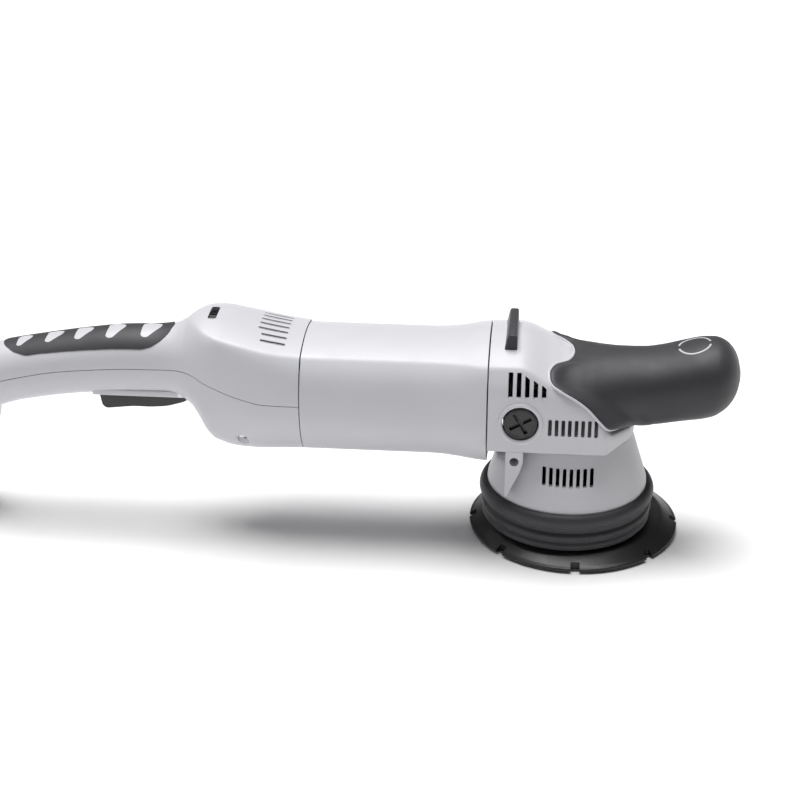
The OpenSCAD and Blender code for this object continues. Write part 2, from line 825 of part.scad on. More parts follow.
module pad_bearings() {
    color(steel)
        for (z = [15.4, 25.4])
            translate([ecc_x, ecc_y, z]) bearing(7.5, 16, 9);
}

module bearing_circlip() {
    color(steel)
        translate([ecc_x, ecc_y, 13.8])
            difference() {
                cylinder(r = 16, h = 1.2);
                translate([0, 0, -1]) cylinder(r = 13.4, h = 4);
                translate([8, -2, -1]) cube([10, 4, 4]);
            }
}

// ---------- pad ----------

module pad_spindle() {
    color(steel)
        translate([ecc_x, ecc_y, 0])
            difference() {
                union() {
                    translate([0, 0, 9]) cylinder(r = 11.5, h = 3.4);
                    translate([0, 0, 9]) cylinder(r = 7.46, h = 26);
                }
                translate([0, 0, 8]) cylinder(r = 4, h = 20);
            }
}

module plate_insert() {
    color(steel)
        translate([ecc_x, ecc_y, 4.6])
            difference() {
                cylinder(r = 22, h = 4.4);
                translate([0, 0, -1]) cylinder(r = 4.2, h = 8);
            }
}

module backing_plate() {
    rim = plate_d / 2;
    notches = 8;
    color(black_plastic)
        translate([ecc_x, ecc_y, 0])
            difference() {
                rotate_extrude()
                    polygon([[6, 0.9], [rim - 0.4, 0.9], [rim, 1.3], [rim, 2.9], [rim - 1.6, 3.5],
                             [rim - 7.5, 7.4], [rim - 9.5, 8.6], [rim - 14, 9], [6, 9]]);
                translate([0, 0, 4.6]) cylinder(r = 22, h = 6);
                for (i = [0 : notches - 1])
                    rotate([0, 0, 360 * i / notches + 1.5])
                        translate([rim + 0.2, 0, -1]) cylinder(r = 2.6, h = 12);
            }
}

module hook_face() {
    color([0.06, 0.06, 0.07])
        translate([ecc_x, ecc_y, 0])
            difference() {
                cylinder(r = plate_d / 2 - 3.2, h = 0.9);
                translate([0, 0, -1]) cylinder(r = 6, h = 3);
            }
}

module pad_bolt() {
    color(steel)
        translate([ecc_x, ecc_y, 0.8])
            difference() {
                union() {
                    cylinder(r = 5.6, h = 3.8);
                    cylinder(r = 3.95, h = 24);
                }
                translate([0, 0, -1]) cylinder(r = 3.6, h = 3.4, $fn = 6);
            }
}

// ---------- controls ----------

module trigger_paddle() {
    color(black_plastic)
        difference() {
            translate([0, paddle_w / 2, 0])
                rotate([90, 0, 0])
                    linear_extrude(paddle_w)
                        polygon([[-278.6, 82.5], [-277.2, 74.2], [-274.8, 72.1], [-268, 72.9], [-258, 74.1],
                                 [-248, 73.9], [-238, 74.8], [-228, 77.8], [-224.6, 79.9], [-224.4, 86.8], [-232, 86.8],
                                 [-236, 84.5], [-269, 84.5]]);
            bar_y(-20, 20, 1.6, hinge_x, hinge_z);
        }
}

module trigger_pin() {
    color(steel) bar_y(-13, 13, 1.55, hinge_x, hinge_z);
}

module switch_body() {
    color([0.85, 0.3, 0.12])
        difference() {
            translate([-276, -9, 90]) cube([32, 18, 17]);
            translate([plunger_x, 0, 88]) cylinder(r = plunger_r + 0.06, h = 14);
        }
}

module switch_plunger() {
    color(black_plastic)
        translate([plunger_x, 0, plunger_tip_z])
            cylinder(r = plunger_r, h = 11);
}

module speed_board() {
    color([0.10, 0.35, 0.18])
        union() {
            translate([-205.5, -16, 108]) cube([19.5, 32, 1.6]);
            translate([-205.8, -7, 109]) cube([9, 14, 16]);
            translate([-195.5, -13, 109]) cube([8, 9, 6]);
            translate([-205.8, 0, dial_z]) rotate([0, -90, 0]) cylinder(r = 2.95, h = 5.2);
        }
}

module noise_filter() {
    color([0.85, 0.75, 0.25])
        translate([-206, -10, 78]) cube([20, 20, 14]);
}

module speed_dial() {
    ridges = 36;
    color(black_plastic)
        translate([dial_x - 2.2, 0, dial_z])
            rotate([0, 90, 0])
                difference() {
                    cylinder(r = dial_r, h = 4.4);
                    translate([0, 0, -1]) cylinder(r = 3, h = 10);
                    for (i = [0 : ridges - 1])
                        rotate([0, 0, 360 * i / ridges])
                            translate([dial_r - 0.7, -0.5, -1]) cube([2, 1, 10]);
                }
}

// ---------- fasteners in the handle ----------

module handle_screws() {
    color(steel)
        for (s = handle_screw_table)
            translate([s[0], s[1], s[2]]) screw(3, 2, 1.6, s[5] - s[2] - 6);
}

handle_upper_shell();
handle_lower_shell();
handle_grip();
motor_housing();
head_cover();
palm_grip_core();
palm_grip_rubber();
bumper_strap();
side_plugs();
gear_case();
gear_case_cap();
shroud();
rubber_skirt();
stator_core();
field_windings();
fan_baffle();
brush_carrier();
brush_holders();
carbon_brushes();
brush_springs();
rear_motor_bearing();
front_motor_bearing();
spindle_upper_bearing();
spindle_lower_bearing();
speed_board();
noise_filter();
switch_body();
trigger_pin();
cord_inlet();
cord_clamp();
handle_screws();
motor_screws();
cap_screws();
shroud_screws();
armature_shaft();
armature_core();
armature_windings();
commutator();
cooling_fan();
pinion_gear();
spindle_shaft();
crown_gear();
eccentric_hub();
counterweight();
pad_bearings();
bearing_circlip();
pad_spindle();
plate_insert();
backing_plate();
hook_face();
pad_bolt();
trigger_paddle();
switch_plunger();
speed_dial();
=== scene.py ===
"""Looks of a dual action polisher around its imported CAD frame. Lengths are millimetres in that frame."""

import json
import math

import numpy as np
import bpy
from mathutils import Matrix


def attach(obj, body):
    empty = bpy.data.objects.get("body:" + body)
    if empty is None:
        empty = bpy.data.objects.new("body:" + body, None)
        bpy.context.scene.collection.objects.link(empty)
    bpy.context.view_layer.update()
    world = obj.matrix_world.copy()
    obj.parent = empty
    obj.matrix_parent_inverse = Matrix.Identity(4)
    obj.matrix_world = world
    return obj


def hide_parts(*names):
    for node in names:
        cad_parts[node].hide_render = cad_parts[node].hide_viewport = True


MM = 0.001


# ---------- curves and surfaces ----------


def monotone(xs, ys, x):
    """Smooth interpolation through a table that never overshoots it."""
    xs, ys = np.asarray(xs, float), np.asarray(ys, float)
    step = np.diff(xs)
    slope = np.diff(ys) / step
    tangent = np.zeros(len(xs))
    tangent[0], tangent[-1] = slope[0], slope[-1]
    for i in range(1, len(xs) - 1):
        if slope[i - 1] * slope[i] > 0:
            w0, w1 = 2 * step[i] + step[i - 1], step[i] + 2 * step[i - 1]
            tangent[i] = (w0 + w1) / (w0 / slope[i - 1] + w1 / slope[i])
    i = np.clip(np.searchsorted(xs, x, side="right") - 1, 0, len(xs) - 2)
    u = (x - xs[i]) / step[i]
    return (
        ys[i] * (2 * u**3 - 3 * u**2 + 1)
        + step[i] * tangent[i] * (u**3 - 2 * u**2 + u)
        + ys[i + 1] * (3 * u**2 - 2 * u**3)
        + step[i] * tangent[i + 1] * (u**3 - u**2)
    )


def bezier(p0, p1, p2, p3, n):
    t = np.linspace(0, 1, n)[:, None]
    p0, p1, p2, p3 = (np.asarray(p, float) for p in (p0, p1, p2, p3))
    return p0 * (1 - t) ** 3 + 3 * p1 * t * (1 - t) ** 2 + 3 * p2 * t**2 * (1 - t) + p3 * t**3


def resample(line, n):
    """The same polyline with n points at even distances."""
    line = np.asarray(line, float)
    d = np.concatenate([[0], np.cumsum(np.linalg.norm(np.diff(line, axis=0), axis=1))])
    at = np.linspace(0, d[-1], n)
    return np.stack([np.interp(at, d, line[:, k]) for k in range(line.shape[1])], 1)


def soften(line, radius):
    """Rounds the corners of a polyline by about radius, keeping its ends."""
    length = np.linalg.norm(np.diff(line, axis=0), axis=1).sum()
    n = max(int(length / 0.4), 40)
    even = resample(line, n)
    sigma = max(radius / (length / n), 0.6)
    half = int(sigma * 3) + 1
    kernel = np.exp(-0.5 * (np.arange(-half, half + 1) / sigma) ** 2)
    kernel /= kernel.sum()
    padded = np.concatenate(
        [2 * even[0] - even[half:0:-1], even, 2 * even[-1] - even[-2 : -half - 2 : -1]]
    )
    out = np.stack([np.convolve(padded[:, k], kernel, "valid") for k in range(2)], 1)
    out[0], out[-1] = even[0], even[-1]
    return out


def upper_section(half, crease_h, crease_y, top, angle, n, soft=0.6, straight=0.0):
    """Upper half of a body section as [y, height]: up the +Y side, over the crown, down the -Y side.
    straight is how far up the side stays upright, and angle its lean where it meets the crease."""
    lean = math.radians(angle)
    reach = 0.5523 * (half - crease_y) / max(math.cos(lean), 0.45)
    reach = min(reach, 0.6 * (crease_h - straight) / max(math.sin(lean), 0.6))
    side = bezier(
        (half, straight),
        (half, straight + 0.5523 * (crease_h - straight)),
        (crease_y + reach * math.cos(lean), crease_h - reach * math.sin(lean)),
        (crease_y, crease_h),
        60,
    )
    if straight > 0:
        side = np.concatenate([[(half, 0.0)], side])
    if crease_y > 0.5:
        y = np.linspace(crease_y, 0, 40)[1:]
        crown = np.stack([y, crease_h + (top - crease_h) * (1 - (y / crease_y) ** 2)], 1)
        side = np.concatenate([side, crown])
    mirrored = side[::-1][1:] * [-1, 1]
    return resample(soften(np.concatenate([side, mirrored]), soft), n)


def lower_section(half, depth, power, n):
    """Lower half of a body section: from the -Y side under the belly to the +Y side."""
    t = np.linspace(math.pi, 2 * math.pi, n)
    c, s = np.cos(t), np.sin(t)
    return np.stack(
        [half * np.sign(c) * np.abs(c) ** (2 / power), depth * np.sign(s) * np.abs(s) ** (2 / power)], 1
    )


# Rear body: x, z of the parting line, tilt, half width, depth below, roundness below,
# crease half distance, crease height, crown height, lean of the side at the crease
REAR = [
    (-155, 91, 0, 37.5, 40, 2.05, 27.8, 118.1, 122.5, 45),
    (-166, 90.9, 0, 37.2, 40.5, 2.05, 28.7, 119.2, 123.9, 45),
    (-176, 91.0, 0, 36.8, 41.1, 2.05, 29.2, 120.8, 125.6, 45),
    (-187, 92.8, 0, 35.6, 43.2, 2.1, 28.9, 123.1, 128.2, 47),
    (-196, 95.0, 0, 34.2, 45.2, 2.1, 28.3, 125.1, 130.3, 49),
    (-203, 97.4, 0, 32.8, 46.2, 2.1, 27.3, 126.8, 131.7, 50),
    (-208, 99.0, 0, 31.5, 46.2, 2.1, 24.9, 127.9, 132.4, 46),
    (-213, 100.8, 0, 29.6, 43.5, 2.1, 21.3, 129.0, 132.4, 40),
    (-218, 102.9, 0, 27.0, 35.5, 2.1, 14.3, 129.7, 131.5, 32),
    (-222, 103.6, 0, 24.6, 29.4, 2.1, 7.5, 129.2, 129.9, 22),
    (-226, 103.7, 0, 22.4, 25.9, 2.1, 0.0, 127.4, 127.4, 6),
    (-231, 103.3, 0, 20.5, 22.0, 2.1, 0.0, 124.2, 124.2, 0),
    (-240, 102.7, 2, 19.0, 20.0, 2.2, 0.0, 122.4, 122.4, 0),
    (-262, 102.0, 3, 18.5, 20.0, 2.2, 0.0, 121.2, 121.2, 0),
    (-285, 100.2, 7, 18.2, 20.0, 2.2, 0.0, 118.1, 118.1, 0),
    (-305, 97.8, 9, 18.0, 20.0, 2.2, 0.0, 114.6, 114.6, 0),
    (-322, 94.2, 13, 17.8, 19.4, 2.2, 0.0, 111.4, 111.4, 0),
    (-338, 90.0, 18, 17.6, 19.0, 2.2, 0.0, 107.8, 107.8, 0),
    (-350, 85.0, 32, 18.0, 19.0, 2.2, 0.0, 103.5, 103.5, 0),
    (-358, 76.0, 52, 18.5, 19.0, 2.2, 0.0, 94.0, 94.0, 0),
    (-362, 64.0, 70, 19.0, 18.5, 2.3, 0.0, 81.0, 81.0, 0),
    (-366, 48.0, 80, 19.5, 18.0, 2.4, 0.0, 64.5, 64.5, 0),
    (-370, 25.0, 86, 20.0, 17.5, 2.5, 0.0, 41.0, 41.0, 0),
    (-373, 0.0, 90, 20.5, 17.0, 2.5, 0.0, 16.0, 16.0, 0),
]
REAR_PATH = np.concatenate(
    [[0], np.cumsum([math.dist(REAR[i][:2], REAR[i + 1][:2]) for i in range(len(REAR) - 1)])]
)


def rear_at(s):
    """The rear body's section values at a distance s along it from the motor."""
    return [float(monotone(REAR_PATH, [row[k] for row in REAR], s)) for k in range(10)]


def rear_upper(s, n):
    x, z, tilt, half, _, _, crease_y, crease_z, top, lean = rear_at(s)
    line = upper_section(half, crease_z - z, crease_y, top - z, lean, n)
    return place(line, x, z, tilt)


def rear_lower(s, n):
    x, z, tilt, half, depth, power = rear_at(s)[:6]
    return place(lower_section(half, depth, power, n), x, z, tilt)


def place(line, x, z, tilt):
    """A [y, height] line in space, in a section that leans back by tilt degrees."""
    a = math.radians(tilt)
    return np.stack([x - line[:, 1] * math.sin(a), line[:, 0], z + line[:, 1] * math.cos(a)], 1)


# Motor housing: x, half width, crease height, crease half distance, crown, depth (heights from its axis)
AXIS_Z = 89.0
MOTOR = [
    (-155, 37.5, 28.8, 26.6, 33.5, 38.0),
    (-120, 37.5, 28.7, 26.3, 33.5, 38.0),
    (-80, 37.5, 28.7, 26.5, 33.5, 38.0),
    (-66, 38.6, 29.0, 28.6, 35.0, 39.0),
    (-55, 40.6, 29.6, 32.2, 37.0, 40.4),
    (-47, 41.6, 30.0, 34.5, 37.8, 41.0),
]


def motor_ring(x, n_up, n_low, shrink=0.0):
    v = [float(monotone([r[0] for r in MOTOR], [r[k] for r in MOTOR], x)) for k in range(1, 6)]
    up = upper_section(v[0] - shrink, v[1] - shrink, v[2] - shrink * 0.6, v[3] - shrink, 45, n_up)
    low = lower_section(v[0] - shrink, v[4] - shrink, 2.07, n_low)
    return place(np.concatenate([up, low[1:-1]]), x, AXIS_Z, 0)


# Head cover: x, half width, crease half distance, crease height, crown height
HEAD_BOTTOM = 70.0
HEAD = [
    (-46.6, 41.8, 34.5, 119.0, 126.8),
    (-30, 42.0, 34.8, 119.4, 126.8),
    (-12, 42.0, 37.6, 111.0, 119.6),
    (-5, 42.0, 38.6, 107.2, 117.0),
    (0.5, 42.0, 39.2, 104.6, 115.0),
    (1.6, 42.0, 39.3, 104.0, 106.0),
    (4, 42.0, 39.5, 102.8, 104.0),
    (10, 42.0, 40.4, 98.2, 99.0),
    (14, 42.0, 40.6, 93.6, 94.2),
    (18, 41.8, 40.4, 87.8, 88.4),
    (20.5, 41.6, 40.0, 84.0, 84.4),
    (23.8, 36.8, 35.4, 79.6, 79.9),
    (27.6, 30.6, 29.2, 78.2, 78.6),
    (31.5, 24.2, 22.8, 77.4, 77.8),
    (35.3, 17.8, 16.6, 76.8, 77.2),
    (37.3, 10.5, 9.6, 76.4, 76.7),
    (38.0, 4.0, 3.2, 76.2, 76.4),
]


def head_ring(row, n, shrink=0.0):
    x, half, crease_y, crease_z, top = row
    up = crease_z - HEAD_BOTTOM - shrink
    straight = max(min(0.55 * up, up - 4), 0.2 * up)
    line = upper_section(
        max(half - shrink, 0.8),
        up,
        max(crease_y - shrink, 0.5),
        top - HEAD_BOTTOM - shrink,
        62,
        n,
        0.7,
        straight,
    )
    return place(line, x, HEAD_BOTTOM, 0)


# Edge of the palm grip on the head cover, from the tongue down the far side: x, y, z
GRIP_EDGE = [
    (1.4, 0, 115.2),
    (0.6, 6.5, 115.3),
    (-1.8, 12.4, 115.2),
    (-5.2, 16.4, 115.7),
    (-8.6, 19.6, 116.0),
    (-11.3, 24.2, 115.6),
    (-12.6, 29.5, 114.4),
    (-12.2, 34.0, 112.3),
    (-9.8, 37.5, 109.9),
    (-5.3, 39.6, 107.8),
    (-0.4, 40.6, 105.4),
    (4.4, 41.2, 102.6),
    (10.3, 41.6, 98.0),
    (14.4, 41.6, 93.4),
    (17.6, 41.5, 89.8),
    (20.2, 40.9, 87.0),
    (22.6, 38.8, 85.1),
    (25.6, 34.6, 83.6),
    (29.0, 28.6, 82.0),
    (32.0, 20.5, 79.9),
    (34.2, 10.0, 78.2),
    (34.8, 0, 77.6),
]

# Palm grip bar: x, centre height, half width, height above centre, depth below
PALM = [
    (-13, 96, 39.6, 17.0, 24),
    (-8, 96, 39.0, 18.2, 24),
    (-2, 96, 38.5, 19.6, 24),
    (4, 95.5, 37.6, 20.9, 23.5),
    (10, 95, 35.8, 21.5, 22),
    (18, 95, 32.2, 21.5, 20),
    (24, 95, 29.8, 21.6, 17.6),
    (31, 95.3, 27.6, 21.6, 18.6),
    (37, 95.8, 26.2, 21.4, 20.6),
    (44, 96.2, 25.7, 21.4, 22.0),
    (52, 97.6, 25.4, 21.5, 22.9),
    (63, 99.6, 25.7, 22.5, 22.8),
    (74, 101.8, 26.0, 23.1, 23.2),
    (82, 103.0, 25.2, 22.5, 22.4),
    (88, 104.0, 22.2, 19.8, 19.6),
    (92.5, 104.4, 17.4, 15.5, 15.2),
    (95.4, 104.6, 11.2, 10.0, 9.8),
    (96.8, 104.6, 5.0, 4.4, 4.4),
]


def palm_section(x, n):
    row = [float(monotone([r[0] for r in PALM], [r[k] for r in PALM], x)) for k in range(1, 5)]
    t = math.pi / 2 - np.linspace(0, 2 * math.pi, n, endpoint=False)
    c, s = np.cos(t), np.sin(t)
    h = np.where(s >= 0, row[2], row[3])
    y = row[1] * np.sign(c) * np.abs(c) ** (2 / 2.15)
    z = h * np.sign(s) * np.abs(s) ** (2 / 2.15)
    return np.stack([np.full(n, x), y, row[0] + z], 1)


def closed_grip_edge(n):
    """The palm grip's edge as a closed loop that starts at the tongue and runs down the +Y side first."""
    half = np.array(GRIP_EDGE, float)
    loop = np.concatenate([half, half[-2:0:-1] * [1, -1, 1]])
    loop = np.concatenate([loop, loop[:1]])
    d = np.concatenate([[0], np.cumsum(np.linalg.norm(np.diff(loop, axis=0), axis=1))])
    wrapped = np.concatenate([loop[-4:-1], loop, loop[1:4]])
    dist = np.concatenate([d[-4:-1] - d[-1], d, d[1:4] + d[-1]])
    at = np.linspace(0, d[-1], n, endpoint=False)
    return np.stack([monotone(dist, wrapped[:, k], at) for k in range(3)], 1)


# ---------- blender ----------

import bmesh
import bpy
from mathutils import Matrix, Vector
from mathutils.bvhtree import BVHTree

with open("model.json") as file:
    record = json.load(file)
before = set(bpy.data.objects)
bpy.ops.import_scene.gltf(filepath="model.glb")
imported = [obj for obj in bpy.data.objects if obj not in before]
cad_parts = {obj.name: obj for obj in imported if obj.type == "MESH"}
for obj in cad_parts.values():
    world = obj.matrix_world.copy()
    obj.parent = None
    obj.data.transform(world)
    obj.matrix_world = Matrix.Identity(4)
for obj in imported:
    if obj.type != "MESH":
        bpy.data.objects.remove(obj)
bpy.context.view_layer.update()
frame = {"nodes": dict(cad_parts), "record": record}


def new_object(name, verts, faces, smooth=True):
    mesh = bpy.data.meshes.new(name)
    mesh.from_pydata([tuple(float(c) * MM for c in v) for v in verts], [], [tuple(f) for f in faces])
    mesh.validate()
    mesh.update()
    mesh.polygons.foreach_set("use_smooth", [smooth] * len(mesh.polygons))
    obj = bpy.data.objects.new(name, mesh)
    bpy.context.scene.collection.objects.link(obj)
    return obj


def apply(obj):
    """Bakes the object's modifiers into its mesh."""
    dg = bpy.context.evaluated_depsgraph_get()
    mesh = bpy.data.meshes.new_from_object(obj.evaluated_get(dg))
    obj.modifiers.clear()
    obj.data = mesh
    return obj


def outward(obj):
    """Turns all faces to the outside."""
    bm = bmesh.new()
    bm.from_mesh(obj.data)
    bmesh.ops.recalc_face_normals(bm, faces=bm.faces)
    bm.to_mesh(obj.data)
    bm.free()
    return obj


def solidify(obj, thickness):
    """Gives an open sheet a wall on its inner side."""
    m = obj.modifiers.new("wall", "SOLIDIFY")
    m.thickness, m.offset = thickness * MM, -1.0
    m.use_even_offset = True
    return apply(obj)


def boolean(obj, others, operation="DIFFERENCE"):
    """Cuts or joins one merged object of closed parts, then drops it."""
    tool = merge(others, "tool")
    m = obj.modifiers.new("cut", "BOOLEAN")
    m.operation, m.object, m.solver = operation, tool, "EXACT"
    m.use_self = operation == "UNION"
    apply(obj)
    bpy.data.objects.remove(tool)
    return obj


def merge(objs, name):
    verts, faces = [], []
    for o in objs:
        base = len(verts)
        verts += [v.co / MM for v in o.data.vertices]
        faces += [[base + i for i in p.vertices] for p in o.data.polygons]
        bpy.data.objects.remove(o)
    return new_object(name, verts, faces)


def bevel(obj, width, segments=2, angle=32):
    m = obj.modifiers.new("edges", "BEVEL")
    m.width, m.segments, m.limit_method = width * MM, segments, "ANGLE"
    m.angle_limit = math.radians(angle)
    m.harden_normals = False
    return apply(obj)


def shade(obj, angle=32):
    obj.data.polygons.foreach_set("use_smooth", [True] * len(obj.data.polygons))
    obj.data.set_sharp_from_angle(angle=math.radians(angle))
    return obj


def finish_piece(obj, name, body, slot, *nodes):
    obj.name = obj.data.name = name
    obj.data.materials.clear()
    obj.data.materials.append(LOOK[slot])
    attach(obj, body)
    if nodes:
        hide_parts(*nodes)
    return obj


def strip(rings, closed=False, caps=False):
    """Quads between rings of points. closed joins each ring's ends, and caps fills the outer two."""
    m, n = len(rings), len(rings[0])
    verts = [p for ring in rings for p in ring]
    faces = [
        (j * n + i, j * n + (i + 1) % n, (j + 1) * n + (i + 1) % n, (j + 1) * n + i)
        for j in range(m - 1)
        for i in range(n if closed else n - 1)
    ]
    if caps:
        faces += [tuple(range(n))[::-1], tuple((m - 1) * n + i for i in range(n))]
    return verts, faces


def double_wall(name, outer, inner):
    """An open moulding with a wall between two sets of open rings, closed at the far end."""
    m, n = len(outer), len(outer[0])
    v0, f0 = strip(outer)
    v1, f1 = strip(inner)
    k = m * n
    faces = f0 + [tuple(k + i for i in f[::-1]) for f in f1]
    for i in range(n - 1):
        faces.append((i + 1, i, k + i, k + i + 1))
    for j in range(m - 1):
        for e in (0, n - 1):
            a, b = j * n + e, (j + 1) * n + e
            faces.append((a, b, k + b, k + a))
    last = (m - 1) * n
    faces += [tuple(last + i for i in range(n)), tuple(k + last + i for i in range(n))]
    return outward(new_object(name, v0 + v1, faces))


def lathe(name, profile, steps=180):
    """A closed profile of [radius, z] points turned about the vertical axis."""
    n = len(profile)
    verts = []
    for k in range(steps):
        a = 2 * math.pi * k / steps
        verts += [(r * math.cos(a), r * math.sin(a), z) for r, z in profile]
    faces = []
    for k in range(steps):
        k2 = (k + 1) % steps
        for i in range(n):
            i2 = (i + 1) % n
            faces.append((k * n + i, k * n + i2, k2 * n + i2, k2 * n + i))
    return outward(new_object(name, verts, faces))


def rounded(points, radius, steps=5):
    """A closed outline with its corners rounded; radius is one number or one per corner."""
    pts = [Vector(p) for p in points]
    n = len(pts)
    radii = radius if isinstance(radius, (list, tuple)) else [radius] * n
    out = []
    for i in range(n):
        a, b, c = pts[i - 1], pts[i], pts[(i + 1) % n]
        r = min(radii[i], 0.48 * (a - b).length, 0.48 * (c - b).length)
        if r <= 0:
            out.append(tuple(b))
            continue
        p, q = b + (a - b).normalized() * r, b + (c - b).normalized() * r
        for k in range(steps + 1):
            t = k / steps
            out.append(tuple(p * (1 - t) ** 2 + b * 2 * t * (1 - t) + q * t**2))
    return out


def slot_outline(width, length, corner=None, steps=6):
    """A rectangle with round corners; by default its ends are half circles."""
    w, h = width / 2, length / 2
    r = min(w, h) if corner is None else min(corner, w, h)
    out = []
    for cx, cy, start in ((w - r, h - r, 0), (r - w, h - r, 90), (r - w, r - h, 180), (w - r, r - h, 270)):
        for k in range(steps + 1):
            a = math.radians(start + 90 * k / steps)
            out.append((cx + r * math.cos(a), cy + r * math.sin(a)))
    return out


def rod(p0, p1, radius, steps=48):
    """A cylinder between two points."""
    a, b = Vector(p0), Vector(p1)
    n = (b - a).normalized()
    u = n.orthogonal().normalized()
    v = n.cross(u)
    rings = []
    turns = np.linspace(0, 2 * math.pi, steps + 1)[:-1]
    for c in (a, b):
        rings.append([tuple(c + (u * math.cos(t) + v * math.sin(t)) * radius) for t in turns])
    return outward(new_object("rod", *strip(rings, closed=True, caps=True)))


def prism(outline, axis, lo, hi):
    """A flat outline pushed along an axis: outline pairs are the two other coordinates in X, Y, Z order."""
    rings = []
    for level in (lo, hi):
        ring = []
        for a, b in outline:
            ring.append({"x": (level, a, b), "y": (a, level, b), "z": (a, b, level)}[axis])
        rings.append(ring)
    return outward(new_object("prism", *strip(rings, closed=True, caps=True)))


def tube(path, radius, steps=10):
    """A round bead along a closed path of points."""
    pts = [Vector(p) for p in path]
    n = len(pts)
    rings = []
    for i in range(n):
        t = (pts[(i + 1) % n] - pts[i - 1]).normalized()
        u = t.cross(Vector((0, 0, 1)))
        u = u.normalized() if u.length > 0.05 else t.cross(Vector((0, 1, 0))).normalized()
        v = u.cross(t)
        turns = [2 * math.pi * k / steps for k in range(steps)]
        rings.append([tuple(pts[i] + u * (radius * math.cos(a)) + v * (radius * math.sin(a))) for a in turns])
    rings.append(rings[0])
    return outward(new_object("bead", *strip(rings, closed=True)))


# ---------- materials ----------


def material(name):
    m = bpy.data.materials.new(name)
    m.use_nodes = True
    nodes, links = m.node_tree.nodes, m.node_tree.links
    bsdf = nodes["Principled BSDF"]
    coord = nodes.new("ShaderNodeTexCoord")
    return m, nodes, links, bsdf, coord


def noise(nodes, links, coord, scale, detail=3.0, rough=0.5):
    n = nodes.new("ShaderNodeTexNoise")
    n.inputs["Scale"].default_value = scale
    n.inputs["Detail"].default_value = detail
    n.inputs["Roughness"].default_value = rough
    links.new(coord.outputs["Object"], n.inputs["Vector"])
    return n


def ramp(nodes, links, source, stops):
    r = nodes.new("ShaderNodeValToRGB")
    elements = r.color_ramp.elements
    while len(elements) < len(stops):
        elements.new(0.5)
    for e, (pos, value) in zip(elements, stops):
        e.position = pos
        e.color = (*value, 1) if isinstance(value, (tuple, list)) else (value, value, value, 1)
    links.new(source, r.inputs["Fac"])
    return r


def bump(nodes, links, bsdf, layers, distance):
    """Adds up bump layers, each a height output and its strength."""
    last = None
    for height, strength in layers:
        b = nodes.new("ShaderNodeBump")
        b.inputs["Strength"].default_value = strength
        b.inputs["Distance"].default_value = distance
        links.new(height, b.inputs["Height"])
        if last:
            links.new(last.outputs["Normal"], b.inputs["Normal"])
        last = b
    links.new(last.outputs["Normal"], bsdf.inputs["Normal"])


def moulded(name, light, dark, rough, grain=2200.0, grain_strength=0.12, wave_strength=0.03, dust=0.0,
            sheen=0.0):
    """Moulded plastic or rubber: fine grain, slow tone changes, uneven gloss and a little dust."""
    m, nodes, links, bsdf, coord = material(name)
    tone = noise(nodes, links, coord, 26.0, 4.0, 0.55)
    colour = ramp(nodes, links, tone.outputs["Fac"], [(0.3, dark), (0.7, light)])
    out = colour.outputs["Color"]
    if dust:
        specks = noise(nodes, links, coord, 900.0, 2.0, 0.6)
        mask = ramp(nodes, links, specks.outputs["Fac"], [(0.70, 0.0), (0.76, 1.0)])
        patches = noise(nodes, links, coord, 45.0, 2.0)
        where = ramp(nodes, links, patches.outputs["Fac"], [(0.5, 0.0), (0.7, dust)])
        product = nodes.new("ShaderNodeMath")
        product.operation = "MULTIPLY"
        links.new(mask.outputs["Color"], product.inputs[0])
        links.new(where.outputs["Color"], product.inputs[1])
        mix = nodes.new("ShaderNodeMix")
        mix.data_type = "RGBA"
        links.new(product.outputs["Value"], mix.inputs["Factor"])
        links.new(out, mix.inputs["A"])
        mix.inputs["B"].default_value = (0.55, 0.54, 0.52, 1)
        out = mix.outputs["Result"]
    links.new(out, bsdf.inputs["Base Color"])
    gloss = noise(nodes, links, coord, 60.0, 5.0, 0.6)
    spread = ramp(nodes, links, gloss.outputs["Fac"], [(0.3, rough - 0.05), (0.7, rough + 0.06)])
    links.new(spread.outputs["Color"], bsdf.inputs["Roughness"])
    grains = nodes.new("ShaderNodeTexVoronoi")
    grains.inputs["Scale"].default_value = grain
    links.new(coord.outputs["Object"], grains.inputs["Vector"])
    slow = noise(nodes, links, coord, 120.0, 3.0)
    bump(nodes, links, bsdf,
         [(grains.outputs["Distance"], grain_strength), (slow.outputs["Fac"], wave_strength)], 0.0002)
    bsdf.inputs["Sheen Weight"].default_value = sheen
    bsdf.inputs["Sheen Roughness"].default_value = 0.5
    return m


def metal(name, light, dark, rough, direction=(1.0, 14.0, 14.0), metallic=1.0):
    """Machined or cast metal with drawn-out tool marks and stains."""
    m, nodes, links, bsdf, coord = material(name)
    stretch = nodes.new("ShaderNodeMapping")
    stretch.inputs["Scale"].default_value = direction
    links.new(coord.outputs["Object"], stretch.inputs["Vector"])
    marks = nodes.new("ShaderNodeTexNoise")
    marks.inputs["Scale"].default_value = 240.0
    marks.inputs["Detail"].default_value = 4.0
    links.new(stretch.outputs["Vector"], marks.inputs["Vector"])
    colour = ramp(nodes, links, marks.outputs["Fac"], [(0.3, dark), (0.7, light)])
    links.new(colour.outputs["Color"], bsdf.inputs["Base Color"])
    stain = noise(nodes, links, coord, 70.0, 4.0)
    spread = ramp(nodes, links, stain.outputs["Fac"], [(0.3, rough - 0.06), (0.7, rough + 0.1)])
    links.new(spread.outputs["Color"], bsdf.inputs["Roughness"])
    bump(nodes, links, bsdf, [(marks.outputs["Fac"], 0.12)], 0.0001)
    bsdf.inputs["Metallic"].default_value = metallic
    return m


